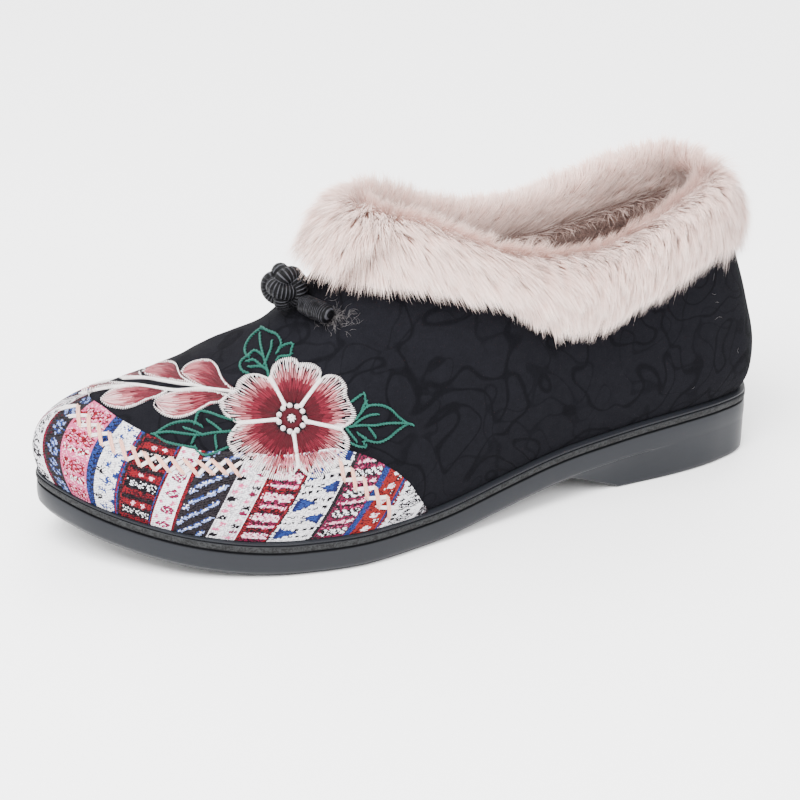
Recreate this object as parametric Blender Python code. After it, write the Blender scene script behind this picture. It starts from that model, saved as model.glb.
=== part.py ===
"""A left winter shoe of cloth on a low moulded sole, with a woven toe cap, a fur collar and a knotted button.

Metres, +Z up. The toe points along +X and the outer side of the foot along +Y. Tables hold shares of the
named sizes above them. Stations run from 0 at the back of the sole to 1 at its toe, and a share of the way
round runs from 0 at the heel's back to 1 at the toe's tip, along either side.
"""

import functools
import math
import random

import bmesh
import bpy
from mathutils import Matrix, Vector

UP = Vector((0.0, 0.0, 1.0))
GAP = 0.0003
SEED = 7

# Sole
SOLE_LENGTH = 0.250
BALL_WIDTH = 0.091
WAIST_WIDTH = 0.060
HEEL_WIDTH = 0.060
HEEL_LIFT = 0.0110
TOE_SPRING = 0.0130
TOE_SWING = 0.0140
TREAD_THICKNESS = 0.0010
SIDEWALL_HEIGHT = 0.0071
BAND_HEIGHT = 0.0036
EDGE_ROUND = 0.0007
GROOVE_DEPTH = 0.0007
GROOVE_WIDTH = 0.0005
LIP_WIDTH = 0.0010
HEEL_UNDERCUT = 0.0010
TREAD_INSET = 0.0014
BREAST_FOOT = 0.248
BREAST_TOP = 0.325
SOLE_STATIONS = 34

# Upper
FEATHER_INSET = 0.0022
UPPER_WALL = 0.0026
COLLAR_HALF_WIDTH = 0.0290
COLLAR_HEIGHT = 0.0680
INSTEP_HEIGHT = 0.0750
SIDE_BULGE = 0.0060
SIDE_RISE = 0.0200
COLLAR_DROP = 0.0200
COLLAR_RIBS = 28
FORE_RIBS = 15
RIB_LEVELS = 10

# Toe cap and insole
CAP_THICKNESS = 0.0009
CAP_RIBS = 21
CAP_LEVELS = 8
INSOLE_THICKNESS = 0.0040
INSOLE_CLEARANCE = 0.0010
INSOLE_ROUND = 0.0010

# Fur collar
FUR_DEPTH = 0.0085
FUR_DROP = 0.0175
FUR_RISE = 0.0110
LINING_DEPTH = 0.0050
LINING_DROP = 0.0150
LINING_GAP = 0.0007
FUR_SECTIONS = 84
FLAP_TURN = 0.80
LOCK_LIFT = 0.0012
LOCK_LIE = 0.0013
LOCK_RAGGED = 0.0020

# Knotted button and its loop
KNOT_RADIUS = 0.0076
KNOT_CORD = 0.0030
LOOP_RADIUS = 0.0036
LOOP_REACH = 0.0150
LOOP_BACK = 0.0050
LOOP_TUCK = 0.0010

# Outline of the sole: station, the width that it follows, share of it to the outer side, to the inner side
OUTLINE = (
    (0.030, HEEL_WIDTH, 0.318, 0.317),
    (0.080, HEEL_WIDTH, 0.427, 0.425),
    (0.150, HEEL_WIDTH, 0.485, 0.483),
    (0.250, HEEL_WIDTH, 0.513, 0.483),
    (0.350, WAIST_WIDTH, 0.545, 0.442),
    (0.450, WAIST_WIDTH, 0.620, 0.458),
    (0.550, BALL_WIDTH, 0.459, 0.374),
    (0.650, BALL_WIDTH, 0.503, 0.462),
    (0.730, BALL_WIDTH, 0.474, 0.500),
    (0.800, BALL_WIDTH, 0.416, 0.500),
    (0.870, BALL_WIDTH, 0.324, 0.478),
    (0.930, BALL_WIDTH, 0.190, 0.423),
    (0.975, BALL_WIDTH, 0.040, 0.319),
)

# Lower edge of the sidewall: station, share of the heel lift, share of the toe spring
UNDERSIDE = (
    (0.00, 0.93, 0.0),
    (0.15, 1.00, 0.0),
    (0.30, 0.77, 0.0),
    (0.42, 0.42, 0.0),
    (0.52, 0.07, 0.0),
    (0.58, 0.00, 0.0),
    (0.74, 0.00, 0.0),
    (0.82, 0.00, 0.13),
    (0.92, 0.00, 0.52),
    (1.00, 0.00, 1.0),
)

# Collar's edge: share of the way round, station, share of the half width, of the collar and instep heights
THROAT = 0.65
COLLAR = (
    (0.000, 0.042, 0.00, 1.000, 0.000),
    (0.060, 0.053, 0.38, 1.000, 0.000),
    (0.130, 0.100, 0.68, 0.965, 0.000),
    (0.195, 0.155, 0.86, 0.850, 0.053),
    (0.260, 0.220, 0.96, 0.680, 0.153),
    (0.325, 0.285, 1.00, 0.520, 0.275),
    (0.410, 0.370, 0.98, 0.360, 0.456),
    (0.490, 0.450, 0.90, 0.200, 0.680),
    (0.550, 0.520, 0.72, 0.080, 0.868),
    (0.600, 0.578, 0.42, 0.020, 0.972),
    (THROAT, 0.600, 0.00, 0.000, 1.000),
)

# Ridge over the instep and toes: share of the way round, station, share of the instep height
RIDGE = (
    (THROAT, 0.600, 1.000),
    (0.720, 0.666, 0.785),
    (0.790, 0.724, 0.697),
    (0.860, 0.770, 0.624),
    (0.930, 0.806, 0.571),
    (1.000, 0.830, 0.538),
)

# Shape of a rib: share of the way round, shares of the side's bulge and rise where it leaves the sole, share
# of its width that it keeps level at the top, share of the collar's drop, share of the ridge's slope
RIB = (
    (0.00, 2.20, 0.60, 0.00, 1.00, 0.0),
    (0.10, 1.80, 0.65, 0.00, 1.00, 0.0),
    (0.25, 1.20, 0.85, 0.06, 1.00, 0.0),
    (0.40, 1.00, 0.95, 0.15, 1.00, 0.0),
    (0.50, 0.95, 1.05, 0.24, 0.85, 0.1),
    (0.58, 0.90, 1.10, 0.38, 0.50, 0.5),
    (0.65, 0.90, 1.10, 0.49, 0.00, 1.0),
    (0.75, 0.95, 1.10, 0.58, 0.00, 1.0),
    (0.88, 1.10, 1.00, 0.65, 0.00, 1.0),
    (1.00, 1.30, 1.00, 0.69, 0.00, 1.0),
)

# Seam of the toe cap: share of the way round, share of the rib's height
SEAM = (
    (0.530, 0.020),
    (0.560, 0.180),
    (0.600, 0.285),
    (0.640, 0.335),
    (0.710, 0.385),
    (0.780, 0.415),
    (0.840, 0.475),
    (0.880, 0.530),
    (0.920, 0.590),
    (0.960, 0.640),
    (1.000, 0.665),
)

# Fur: share of the way to the throat, shares of the drop, rise and depth, share of the depth it leans in
FUR = (
    (0.00, 1.50, 1.10, 0.60, 0.80),
    (0.12, 1.05, 1.12, 0.75, 0.60),
    (0.30, 0.82, 1.12, 0.95, 0.20),
    (0.50, 1.00, 0.97, 1.05, 0.00),
    (0.62, 0.92, 1.00, 1.05, 0.00),
    (0.72, 0.42, 1.15, 1.00, 0.00),
    (0.80, 0.16, 1.50, 0.95, 0.10),
    (0.87, 0.45, 1.75, 1.10, 0.30),
    (0.94, 0.62, 1.75, 1.50, 0.50),
    (1.00, 0.42, 1.75, 1.75, 0.60),
)
KNOT_SHARE = 0.707


def clear_scene():
    for old in list(bpy.data.objects):
        bpy.data.objects.remove(old)


def finish(name, colour, roughness):
    """A plain material of one colour."""
    material = bpy.data.materials.new(name)
    material.use_nodes = True
    shader = material.node_tree.nodes["Principled BSDF"]
    shader.inputs["Base Color"].default_value = (*colour, 1.0)
    shader.inputs["Roughness"].default_value = roughness
    shader.inputs["Metallic"].default_value = 0.0
    return material


def curve_through(rows, place, column):
    """Value of a table's column at a place, on a smooth curve through the rows."""
    last = len(rows) - 1
    right = 1
    while right < last and rows[right][0] < place:
        right += 1
    left = right - 1
    start, end = rows[left], rows[right]
    before, after = rows[max(left - 1, 0)], rows[min(right + 1, last)]
    span = end[0] - start[0]
    share = min(max((place - start[0]) / span, 0.0), 1.0)
    slope_in = (end[column] - before[column]) / (end[0] - before[0]) * span
    slope_out = (after[column] - start[column]) / (after[0] - start[0]) * span
    square, cube = share * share, share ** 3
    return (
        (2 * cube - 3 * square + 1) * start[column]
        + (cube - 2 * square + share) * slope_in
        + (3 * square - 2 * cube) * end[column]
        + (cube - square) * slope_out
    )


def with_mirrored_ends(rows, odd_column):
    """The table with a row beyond each end, where the other side begins, so that the sides join smoothly."""
    rows = list(rows)
    first, second = rows[0], rows[1]
    last, before_last = rows[-1], rows[-2]

    def mirrored(row, about):
        values = [2 * about[0] - row[0], *row[1:]]
        if odd_column is not None:
            values[odd_column] = -values[odd_column]
        return tuple(values)

    return [mirrored(second, first)] + rows + [mirrored(before_last, last)]


def outline_corner(row, side):
    share = row[2] if side > 0 else row[3]
    return Vector((row[0] * SOLE_LENGTH, side * row[1] * share))


@functools.lru_cache(maxsize=None)
def side_path(side):
    """One side of the outline from heel to toe: rows of the distance along it, x and y."""
    corners = [Vector((0.0, 0.0))] + [outline_corner(row, side) for row in OUTLINE]
    corners.append(Vector((SOLE_LENGTH, -TOE_SWING)))
    corners = [outline_corner(OUTLINE[0], -side)] + corners + [outline_corner(OUTLINE[-1], -side)]
    rows = []
    distance = 0.0
    for index, corner in enumerate(corners):
        if index:
            distance += (corner - corners[index - 1]).length
        rows.append((distance, corner.x, corner.y))
    steps = 400
    start, stop = rows[1][0], rows[-2][0]
    places = [start + (stop - start) * step / steps for step in range(steps + 1)]
    points = [Vector((curve_through(rows, place, 1), curve_through(rows, place, 2))) for place in places]
    path = [(0.0, points[0].x, points[0].y)]
    for first, second in zip(points, points[1:]):
        path.append((path[-1][0] + (second - first).length, second.x, second.y))
    return path


def outline_at(side, value, by_station):
    """Point and outward normal where a side passes a station, or a share of its length."""
    path = side_path(side)
    column = 1 if by_station else 0
    wanted = value * (SOLE_LENGTH if by_station else path[-1][0])
    index = 1
    while index < len(path) - 1 and path[index][column] < wanted:
        index += 1
    before, after = path[index - 1], path[index]
    share = min(max((wanted - before[column]) / (after[column] - before[column]), 0.0), 1.0)
    point = Vector(before[1:]).lerp(Vector(after[1:]), share)
    tangent = path_tangent(side, index - 1).lerp(path_tangent(side, index), share).normalized()
    return point, Vector((-tangent.y, tangent.x)) * side


def path_tangent(side, index):
    """Direction of travel at a point of the outline, straight across at the heel's back and toe's tip."""
    path = side_path(side)
    if index == 0:
        return Vector((0.0, side))
    if index == len(path) - 1:
        return Vector((0.0, -side))
    before, after = path[index - 1], path[index + 1]
    return Vector((after[1] - before[1], after[2] - before[2])).normalized()


def underside(station):
    """Height of the sidewall's lower edge."""
    lift = max(curve_through(UNDERSIDE, station, 1), 0.0) * HEEL_LIFT
    spring = max(curve_through(UNDERSIDE, station, 2), 0.0) * TOE_SPRING
    return TREAD_THICKNESS + lift + spring


def seat_height(station):
    """Height of the sole's top face."""
    return underside(station) + SIDEWALL_HEIGHT + BAND_HEIGHT


def tread_height(station):
    """Height of the tread: on the floor under the heel, up the sloping breast, then along the sole."""
    if station <= BREAST_FOOT:
        return 0.0
    if station >= BREAST_TOP:
        return underside(station) - TREAD_THICKNESS
    top = underside(BREAST_TOP) - TREAD_THICKNESS
    return top * (station - BREAST_FOOT) / (BREAST_TOP - BREAST_FOOT)


def tread_inset(station):
    """How far the tread's edge stands in from the sidewall: little behind the heel, most at its front."""
    front = EDGE_ROUND + HEEL_UNDERCUT
    if station <= BREAST_FOOT:
        return EDGE_ROUND + HEEL_UNDERCUT * (station / BREAST_FOOT) ** 3
    share = min((station - BREAST_FOOT) / (BREAST_TOP - BREAST_FOOT), 1.0)
    return front + (TREAD_INSET - front) * share


def spaced_stations(count, folds=()):
    """Stations from heel to toe, close together at the round ends, with one on each fold."""
    spacing = 0.4 / count
    even = [(1 - math.cos(math.pi * index / count)) / 2 for index in range(count + 1)]
    clear = [station for station in even if all(abs(station - fold) > spacing for fold in folds)]
    return sorted(clear + list(folds))


def flat_ring(stations, inset, height):
    """Points round the outline: heel's back, outer side, toe's tip, inner side."""
    ring = []
    for side, along in ((1, stations), (-1, stations[-2:0:-1])):
        for station in along:
            flat, normal = outline_at(side, station, True)
            flat = flat - normal * inset(station)
            ring.append(Vector((flat.x, flat.y, height(flat.x / SOLE_LENGTH))))
    return ring


def join_rings(mesh, lower, upper):
    count = len(lower)
    for index in range(count):
        after = (index + 1) % count
        mesh.faces.new((lower[after], lower[index], upper[index], upper[after]))


def close_across(mesh, ring, station_count):
    """A cap of strips from the outer side to the inner side."""
    last = station_count - 1
    inner = [ring[0]] + [ring[-index] for index in range(1, last)] + [ring[last]]
    for index in range(last):
        corners = [ring[index], ring[index + 1], inner[index + 1], inner[index]]
        mesh.faces.new(list(dict.fromkeys(corners)))


def loft_slab(name, stations, profile, material, sharp_angle):
    """A closed slab of the outline's shape. Each profile row is an inset and a height, by station."""
    mesh = bmesh.new()
    rings = []
    for inset, height in profile:
        rings.append([mesh.verts.new(point) for point in flat_ring(stations, inset, height)])
    for lower, upper in zip(rings, rings[1:]):
        join_rings(mesh, lower, upper)
    close_across(mesh, rings[0], len(stations))
    close_across(mesh, rings[-1], len(stations))
    return as_object(name, mesh, material, sharp_angle)


def as_object(name, mesh, material, sharp_angle):
    """Turns a bmesh into a named object, smooth but for its sharp edges, with its faces pointing out."""
    bmesh.ops.recalc_face_normals(mesh, faces=mesh.faces)
    data = bpy.data.meshes.new(name)
    mesh.to_mesh(data)
    mesh.free()
    data.materials.append(material)
    data.shade_smooth()
    data.set_sharp_from_angle(angle=math.radians(sharp_angle))
    made = bpy.data.objects.new(name, data)
    bpy.context.scene.collection.objects.link(made)
    return made


def build_outsole(material):
    """One moulding: tread and heel, smooth sidewall, groove, grained band, and a lip round the top."""
    band_top = SIDEWALL_HEIGHT + BAND_HEIGHT
    edges = (
        (EDGE_ROUND, 0.0),
        (0.0, EDGE_ROUND),
        (0.0, SIDEWALL_HEIGHT - GROOVE_WIDTH),
        (GROOVE_DEPTH, SIDEWALL_HEIGHT),
        (0.0, SIDEWALL_HEIGHT + GROOVE_WIDTH),
        (0.0, band_top - 2 * GROOVE_WIDTH),
        (GROOVE_DEPTH, band_top - GROOVE_WIDTH),
        (LIP_WIDTH, band_top),
    )
    profile = [(tread_inset, tread_height)]
    for inset, rise in edges:
        profile.append((lambda s, inset=inset: inset, lambda s, rise=rise: underside(s) + rise))
    stations = spaced_stations(SOLE_STATIONS, (BREAST_FOOT, BREAST_TOP))
    return loft_slab("outsole", stations, profile, material, 30)


def build_insole(material):
    """The footbed, clear of the upper's lower edge all round."""
    edge = FEATHER_INSET + UPPER_WALL + INSOLE_CLEARANCE
    rows = (
        (edge, GAP),
        (edge, INSOLE_THICKNESS - INSOLE_ROUND),
        (edge + INSOLE_ROUND, INSOLE_THICKNESS),
    )
    profile = [
        (lambda s, inset=inset: inset, lambda s, rise=rise: seat_height(s) + rise) for inset, rise in rows
    ]
    return loft_slab("insole", spaced_stations(26), profile, material, 40)


def centre_line(station):
    """Sideways place of the ridge, which swings to the inner side towards the toe."""
    bend = min(max((station - 0.45) / 0.55, 0.0), 1.0)
    return -TOE_SWING * bend * bend


def top_point(side, share):
    """Top of a rib: on the collar behind the throat, on the ridge in front of it."""
    if share < THROAT:
        rows = with_mirrored_ends(COLLAR, 2)
        station = curve_through(rows, share, 1)
        half = curve_through(rows, share, 2) * COLLAR_HALF_WIDTH
        rise = curve_through(rows, share, 3) * COLLAR_HEIGHT + curve_through(rows, share, 4) * INSTEP_HEIGHT
    else:
        station = curve_through(RIDGE, share, 1)
        half = 0.0
        rise = curve_through(RIDGE, share, 2) * INSTEP_HEIGHT
    y = centre_line(station) + side * half
    return Vector((station * SOLE_LENGTH, y, seat_height(station) + rise))


def ridge_direction(share):
    """Direction of the ridge towards the toe."""
    step = 0.01
    return top_point(1, min(share + step, 1.0)) - top_point(1, max(share - step, THROAT))


@functools.lru_cache(maxsize=None)
def rib_handles(side, share):
    """The four points of a rib's curve, from the sole to the top line."""
    flat, normal = outline_at(side, share, False)
    flat = flat - normal * FEATHER_INSET
    outward = Vector((normal.x, normal.y, 0.0))
    foot = Vector((flat.x, flat.y, seat_height(flat.x / SOLE_LENGTH) + GAP))
    top = top_point(side, share)
    rows = with_mirrored_ends(RIB, None)
    bulge, rise, reach, drop, slope = (curve_through(rows, share, column) for column in range(1, 6))
    ridge = ridge_direction(max(share, THROAT))
    handle = Vector((foot.x - top.x, foot.y - top.y, 0.0)) * reach
    handle.z = handle.x * slope * ridge.z / ridge.x - max(drop, 0.0) * COLLAR_DROP
    return foot, foot + outward * bulge * SIDE_BULGE + UP * rise * SIDE_RISE, top + handle, top


def last_point(side, share, level):
    """A point of the upper's outer face, at a share of the way round and up a rib."""
    foot, low, high, top = rib_handles(side, share)
    rest = 1 - level
    bottom_half = foot * rest ** 3 + low * (3 * rest * rest * level)
    return bottom_half + high * (3 * rest * level * level) + top * level ** 3


def last_normal(side, share, level):
    """Outward normal of the upper's outer face."""
    if share >= THROAT and level >= 1.0:
        ridge = ridge_direction(share)
        return Vector((-ridge.z, 0.0, ridge.x)).normalized()
    step = 0.004
    low, high = max(level - step, 0.0), min(level + step, 1.0)
    ahead = last_point(side, min(share + step, 1.0), level)
    behind = last_point(side, share - step, level) if share > step else last_point(-side, step, level)
    if share > 1.0 - step:
        ahead = last_point(-side, 1.0 - step, level)
    upward = last_point(side, share, high) - last_point(side, share, low)
    return ((ahead - behind).cross(upward) * -side).normalized()


def wall_point(side, share, level, depth):
    """A point that lies a depth under the outer face, or over it if negative, level at the wall's ends."""
    point = last_point(side, share, level)
    normal = last_normal(side, share, level)
    on_edge = level <= 0.0 or (level >= 1.0 and share <= THROAT)
    if on_edge:
        normal = Vector((normal.x, normal.y, 0.0)).normalized()
    point = point - normal * depth
    if level <= 0.0:
        point.z = seat_height(point.x / SOLE_LENGTH) + GAP
    return point


def collar_shares(count):
    """Shares from the heel to just short of the throat, close together at both."""
    even = [index / count for index in range(count)]
    return [THROAT * (place + (1 - math.cos(math.pi * place)) / 2) / 2 for place in even]


def upper_shares():
    behind = collar_shares(COLLAR_RIBS)
    return behind + [THROAT + (1 - THROAT) * index / FORE_RIBS for index in range(FORE_RIBS + 1)]


def wall_grid(mesh, shares, levels_at, depth):
    """Columns of vertices over both sides. The sides share the heel's and toe's columns and the ridge."""
    columns = {}
    for side in (1, -1):
        for share in shares:
            if side < 0 and share in (0.0, 1.0):
                columns[side, share] = columns[1, share]
                continue
            column = [mesh.verts.new(wall_point(side, share, level, depth)) for level in levels_at(share)]
            if side < 0 and share >= THROAT and levels_at(share)[-1] == 1.0:
                mesh.verts.remove(column.pop())
                column.append(columns[1, share][-1])
            columns[side, share] = column
    return columns


def skin_grid(mesh, columns, shares):
    for side in (1, -1):
        for first, second in zip(shares, shares[1:]):
            left, right = columns[side, first], columns[side, second]
            for level in range(len(left) - 1):
                corners = (left[level], right[level], right[level + 1], left[level + 1])
                mesh.faces.new(list(dict.fromkeys(corners)))


def join_edges(mesh, outer, inner, side, shares, row):
    """The rim between the outer and inner face, along one row of both grids."""
    for first, second in zip(shares, shares[1:]):
        corners = (
            outer[side, first][row],
            outer[side, second][row],
            inner[side, second][row],
            inner[side, first][row],
        )
        mesh.faces.new(corners)


def build_upper(material):
    """One hollow cloth wall over the last, open along the sole and at the collar."""
    shares = upper_shares()
    levels = [index / RIB_LEVELS for index in range(RIB_LEVELS + 1)]
    mesh = bmesh.new()
    outer = wall_grid(mesh, shares, lambda share: levels, 0.0)
    inner = wall_grid(mesh, shares, lambda share: levels, UPPER_WALL)
    collar = [share for share in shares if share <= THROAT]
    for grid in (outer, inner):
        skin_grid(mesh, grid, shares)
    for side in (1, -1):
        join_edges(mesh, outer, inner, side, shares, 0)
        join_edges(mesh, outer, inner, side, collar, -1)
    return as_object("upper", mesh, material, 50)


def build_toe_cap(material):
    """The woven guard over the toes, laid on the upper's own surface from the sole to its seam."""
    first = SEAM[0][0]
    shares = [first + (1 - first) * index / CAP_RIBS for index in range(CAP_RIBS + 1)]

    def levels_at(share):
        seam = curve_through(SEAM, share, 1)
        return [seam * index / CAP_LEVELS for index in range(CAP_LEVELS + 1)]

    mesh = bmesh.new()
    outer = wall_grid(mesh, shares, levels_at, -(GAP + CAP_THICKNESS))
    inner = wall_grid(mesh, shares, levels_at, -GAP)
    for grid in (outer, inner):
        skin_grid(mesh, grid, shares)
    for side in (1, -1):
        join_edges(mesh, outer, inner, side, shares, 0)
        join_edges(mesh, outer, inner, side, shares, -1)
        ends = zip(outer[side, first], outer[side, first][1:], inner[side, first][1:], inner[side, first])
        for corners in ends:
            mesh.faces.new(corners)
    return as_object("toe_cap", mesh, material, 50)


def level_below_top(side, share, distance):
    """The level of a rib's point that lies a distance below its top, measured along the rib."""
    steps = 60
    walked = 0.0
    upper_end = last_point(side, share, 1.0)
    for step in range(1, steps + 1):
        level = 1 - step / steps
        lower_end = last_point(side, share, level)
        walked += (upper_end - lower_end).length
        if walked >= distance:
            return level
        upper_end = lower_end
    return 0.0


def collar_outward(side, share):
    """Level direction out of the collar, square to its edge."""
    step = 0.01
    if share < step:
        along = top_point(side, step) - top_point(-side, step)
    elif share > THROAT - step:
        along = top_point(-side, THROAT - step) - top_point(side, THROAT - step)
    else:
        along = top_point(side, share + step) - top_point(side, share - step)
    return Vector((-along.y, along.x, 0.0)).normalized() * side


def flap_path(side, share, drop):
    """Where fur of a length ends on the cloth: down the rib at the sides, turning forward at the throat."""
    turn = min(max((share / THROAT - FLAP_TURN) / (1 - FLAP_TURN), 0.0), 1.0)
    angle = (3 * turn * turn - 2 * turn ** 3) * math.pi / 2
    stretch = 0.05
    ridge_run = (top_point(1, THROAT + stretch) - top_point(1, THROAT)).length / stretch
    end_share = share + drop * math.sin(angle) / ridge_run
    return end_share, level_below_top(side, end_share, drop * math.cos(angle))


def fur_section(side, share, dice):
    """One section of the fur: what lies on the cloth, outside and in, then the pile from lining to flap."""
    rows = with_mirrored_ends(FUR, None)
    drop, rise, depth, lean = (curve_through(rows, share / THROAT, column) for column in range(1, 5))
    drop = drop * FUR_DROP + dice.uniform(-LOCK_RAGGED, LOCK_RAGGED)
    rise = rise * FUR_RISE
    depth = depth * FUR_DEPTH
    edge = top_point(side, share)
    outward = collar_outward(side, share)
    over = Vector((-outward.x * lean * FUR_DEPTH, 0.0, 0.0))
    flap = flap_path(side, share, drop)
    hem = flap_path(side, share, LINING_DROP)

    def on_flap(way, away):
        """A point outside the cloth, a share of the way from the collar's edge to the flap's end."""
        return wall_point(side, share + (flap[0] - share) * way, 1 + (flap[1] - 1) * way, -away)

    def in_lining(way, away):
        """A point inside the cloth, a share of the way from the collar's edge to the lining's hem."""
        return wall_point(side, share + (hem[0] - share) * way, 1 + (hem[1] - 1) * way, UPPER_WALL + away)

    contact = [
        on_flap(1.0, GAP),
        on_flap(0.75, GAP),
        on_flap(0.5, GAP),
        on_flap(0.25, GAP),
        edge + outward * GAP + UP * GAP,
        edge - outward * (UPPER_WALL + LINING_GAP) + UP * GAP,
        in_lining(0.5, LINING_GAP),
        in_lining(1.0, LINING_GAP),
    ]
    lining = UPPER_WALL + LINING_DEPTH
    pile = [
        in_lining(0.9, LINING_DEPTH * 0.8),
        in_lining(0.5, LINING_DEPTH),
        edge - outward * lining + over * 0.4 + UP * rise * 0.2,
        edge - outward * lining * 0.8 + over * 0.9 + UP * rise * 0.8,
        edge - outward * UPPER_WALL * 0.5 + over + UP * rise,
        edge + outward * depth * 0.6 + over + UP * rise * 0.8,
        edge + outward * depth + over * 0.4 + UP * rise * 0.15,
        on_flap(0.45, min(depth, FUR_DEPTH)),
        on_flap(0.82, min(depth, FUR_DEPTH) * 0.72),
    ]
    jitter = LOCK_LIFT * 0.5
    pile = [point + Vector([dice.uniform(-jitter, jitter) for axis in range(3)]) for point in pile]
    return contact + pile, len(contact)


def fur_places():
    """The way round the collar: from the throat back along the inner side and forward along the outer."""
    outer = [(1, share) for share in collar_shares(FUR_SECTIONS // 2)]
    inner = [(-1, THROAT)] + [(-1, share) for side, share in reversed(outer[1:])]
    return inner + outer


def build_fur_collar(material):
    """Deep fur folded over the collar's edge, as one ring whose pile is raised into locks."""
    dice = random.Random(SEED)
    mesh = bmesh.new()
    sections = []
    for side, share in fur_places():
        points, contact_count = fur_section(side, share, dice)
        sections.append([mesh.verts.new(point) for point in points])
    pile_faces = []
    for section, following in zip(sections, sections[1:] + sections[:1]):
        count = len(section)
        for row in range(count):
            after = (row + 1) % count
            face = mesh.faces.new((section[row], following[row], following[after], section[after]))
            if row >= contact_count - 1:
                pile_faces.append(face)
    bmesh.ops.recalc_face_normals(mesh, faces=mesh.faces)
    normals = [face.normal.copy() for face in pile_faces]
    locks = bmesh.ops.poke(mesh, faces=pile_faces)["verts"]
    for tip, normal in zip(locks, normals):
        lie = -UP - normal * normal.dot(-UP)
        tip.co += normal * LOCK_LIFT * dice.uniform(0.5, 1.5) + lie * LOCK_LIE * dice.uniform(0.4, 1.2)
    return as_object("fur_collar", mesh, material, 25)


def knot_frame():
    """Where the knot sits on the ridge: its place, and axes to the toe, to the outer side and out."""
    place = top_point(1, KNOT_SHARE)
    forward = ridge_direction(KNOT_SHARE).normalized()
    out = last_normal(1, KNOT_SHARE, 1.0)
    across = out.cross(forward).normalized()
    return place, forward, across, out


def add_turn(name, centre, axis, radius, cord, stretch):
    """One turn of the knot's cord, a ring about an axis, drawn out along it into a barrel."""
    turn = Matrix.LocRotScale(centre, axis.to_track_quat("Z", "Y"), Vector((1.0, 1.0, stretch)))
    mesh = bmesh.new()
    around, section = 14, 8
    rings = []
    for index in range(around):
        angle = 2 * math.pi * index / around
        ring = []
        for corner in range(section):
            tilt = 2 * math.pi * corner / section
            reach = radius - cord + cord * math.cos(tilt)
            point = Vector((math.cos(angle) * reach, math.sin(angle) * reach, math.sin(tilt) * cord))
            ring.append(mesh.verts.new(turn @ point))
        rings.append(ring)
    for ring, following in zip(rings, rings[1:] + rings[:1]):
        join_rings(mesh, ring, following)
    return as_object(name, mesh, None, 60)


def build_knot_button(material):
    """A ball of three turns of cord drawn tight round a core, seated on the vamp."""
    place, forward, across, out = knot_frame()
    centre = place + out * (KNOT_RADIUS + GAP)
    mesh = bmesh.new()
    core = Matrix.Translation(centre)
    bmesh.ops.create_icosphere(mesh, subdivisions=2, radius=KNOT_RADIUS - KNOT_CORD * 0.6, matrix=core)
    ball = as_object("knot_button", mesh, material, 60)
    tilted = (forward + out * 0.5).normalized()
    axes = (("turn_across", across, 1.15), ("turn_along", tilted, 1.0), ("turn_out", out - forward * 0.4, 1.0))
    for name, axis, stretch in axes:
        ring = add_turn(name, centre, axis.normalized(), KNOT_RADIUS, KNOT_CORD, stretch)
        ring.hide_render = True
        ring.display_type = "WIRE"
        union = ball.modifiers.new(name, "BOOLEAN")
        union.operation = "UNION"
        union.object = ring
    return ball


def build_knot_loop(material):
    """The doubled cord of the loop, a lobe that lies on the outer side of the vamp beside the knot."""
    place, forward, across, out = knot_frame()
    start = place + across * (KNOT_RADIUS - LOOP_TUCK) + out * (LOOP_RADIUS + GAP)
    end = start + across * LOOP_REACH - forward * LOOP_BACK
    mesh = bmesh.new()
    bmesh.ops.create_icosphere(mesh, subdivisions=2, radius=LOOP_RADIUS)
    middle = (start + end) / 2
    for vert in mesh.verts:
        half = (end - start).length / 2 - LOOP_RADIUS
        vert.co.z += half if vert.co.z > 0 else -half
    turn = (end - start).to_track_quat("Z", "Y")
    bmesh.ops.transform(mesh, matrix=Matrix.LocRotScale(middle, turn, None), verts=mesh.verts)
    return as_object("knot_loop", mesh, material, 60)


def centre_on_floor(pieces):
    """Moves every piece so that the origin lies on the floor under the middle of the whole shoe."""
    corners = [vert.co for piece in pieces for vert in piece.data.vertices]
    middle_x = (min(c.x for c in corners) + max(c.x for c in corners)) / 2
    middle_y = (min(c.y for c in corners) + max(c.y for c in corners)) / 2
    move = Matrix.Translation(Vector((-middle_x, -middle_y, 0.0)))
    for piece in bpy.context.scene.objects:
        piece.data.transform(move)


def main():
    clear_scene()
    rubber = finish("moulded_rubber", (0.075, 0.080, 0.095), 0.42)
    cloth = finish("micro_suede", (0.018, 0.018, 0.022), 0.85)
    woven = finish("woven_ribbon", (0.42, 0.20, 0.24), 0.70)
    pile = finish("faux_fur", (0.74, 0.60, 0.56), 0.90)
    felt = finish("insole_felt", (0.45, 0.34, 0.31), 0.95)
    satin = finish("satin_cord", (0.012, 0.012, 0.014), 0.35)
    pieces = [
        build_outsole(rubber),
        build_insole(felt),
        build_upper(cloth),
        build_toe_cap(woven),
        build_fur_collar(pile),
        build_knot_button(satin),
        build_knot_loop(satin),
    ]
    centre_on_floor(pieces)


main()
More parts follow.
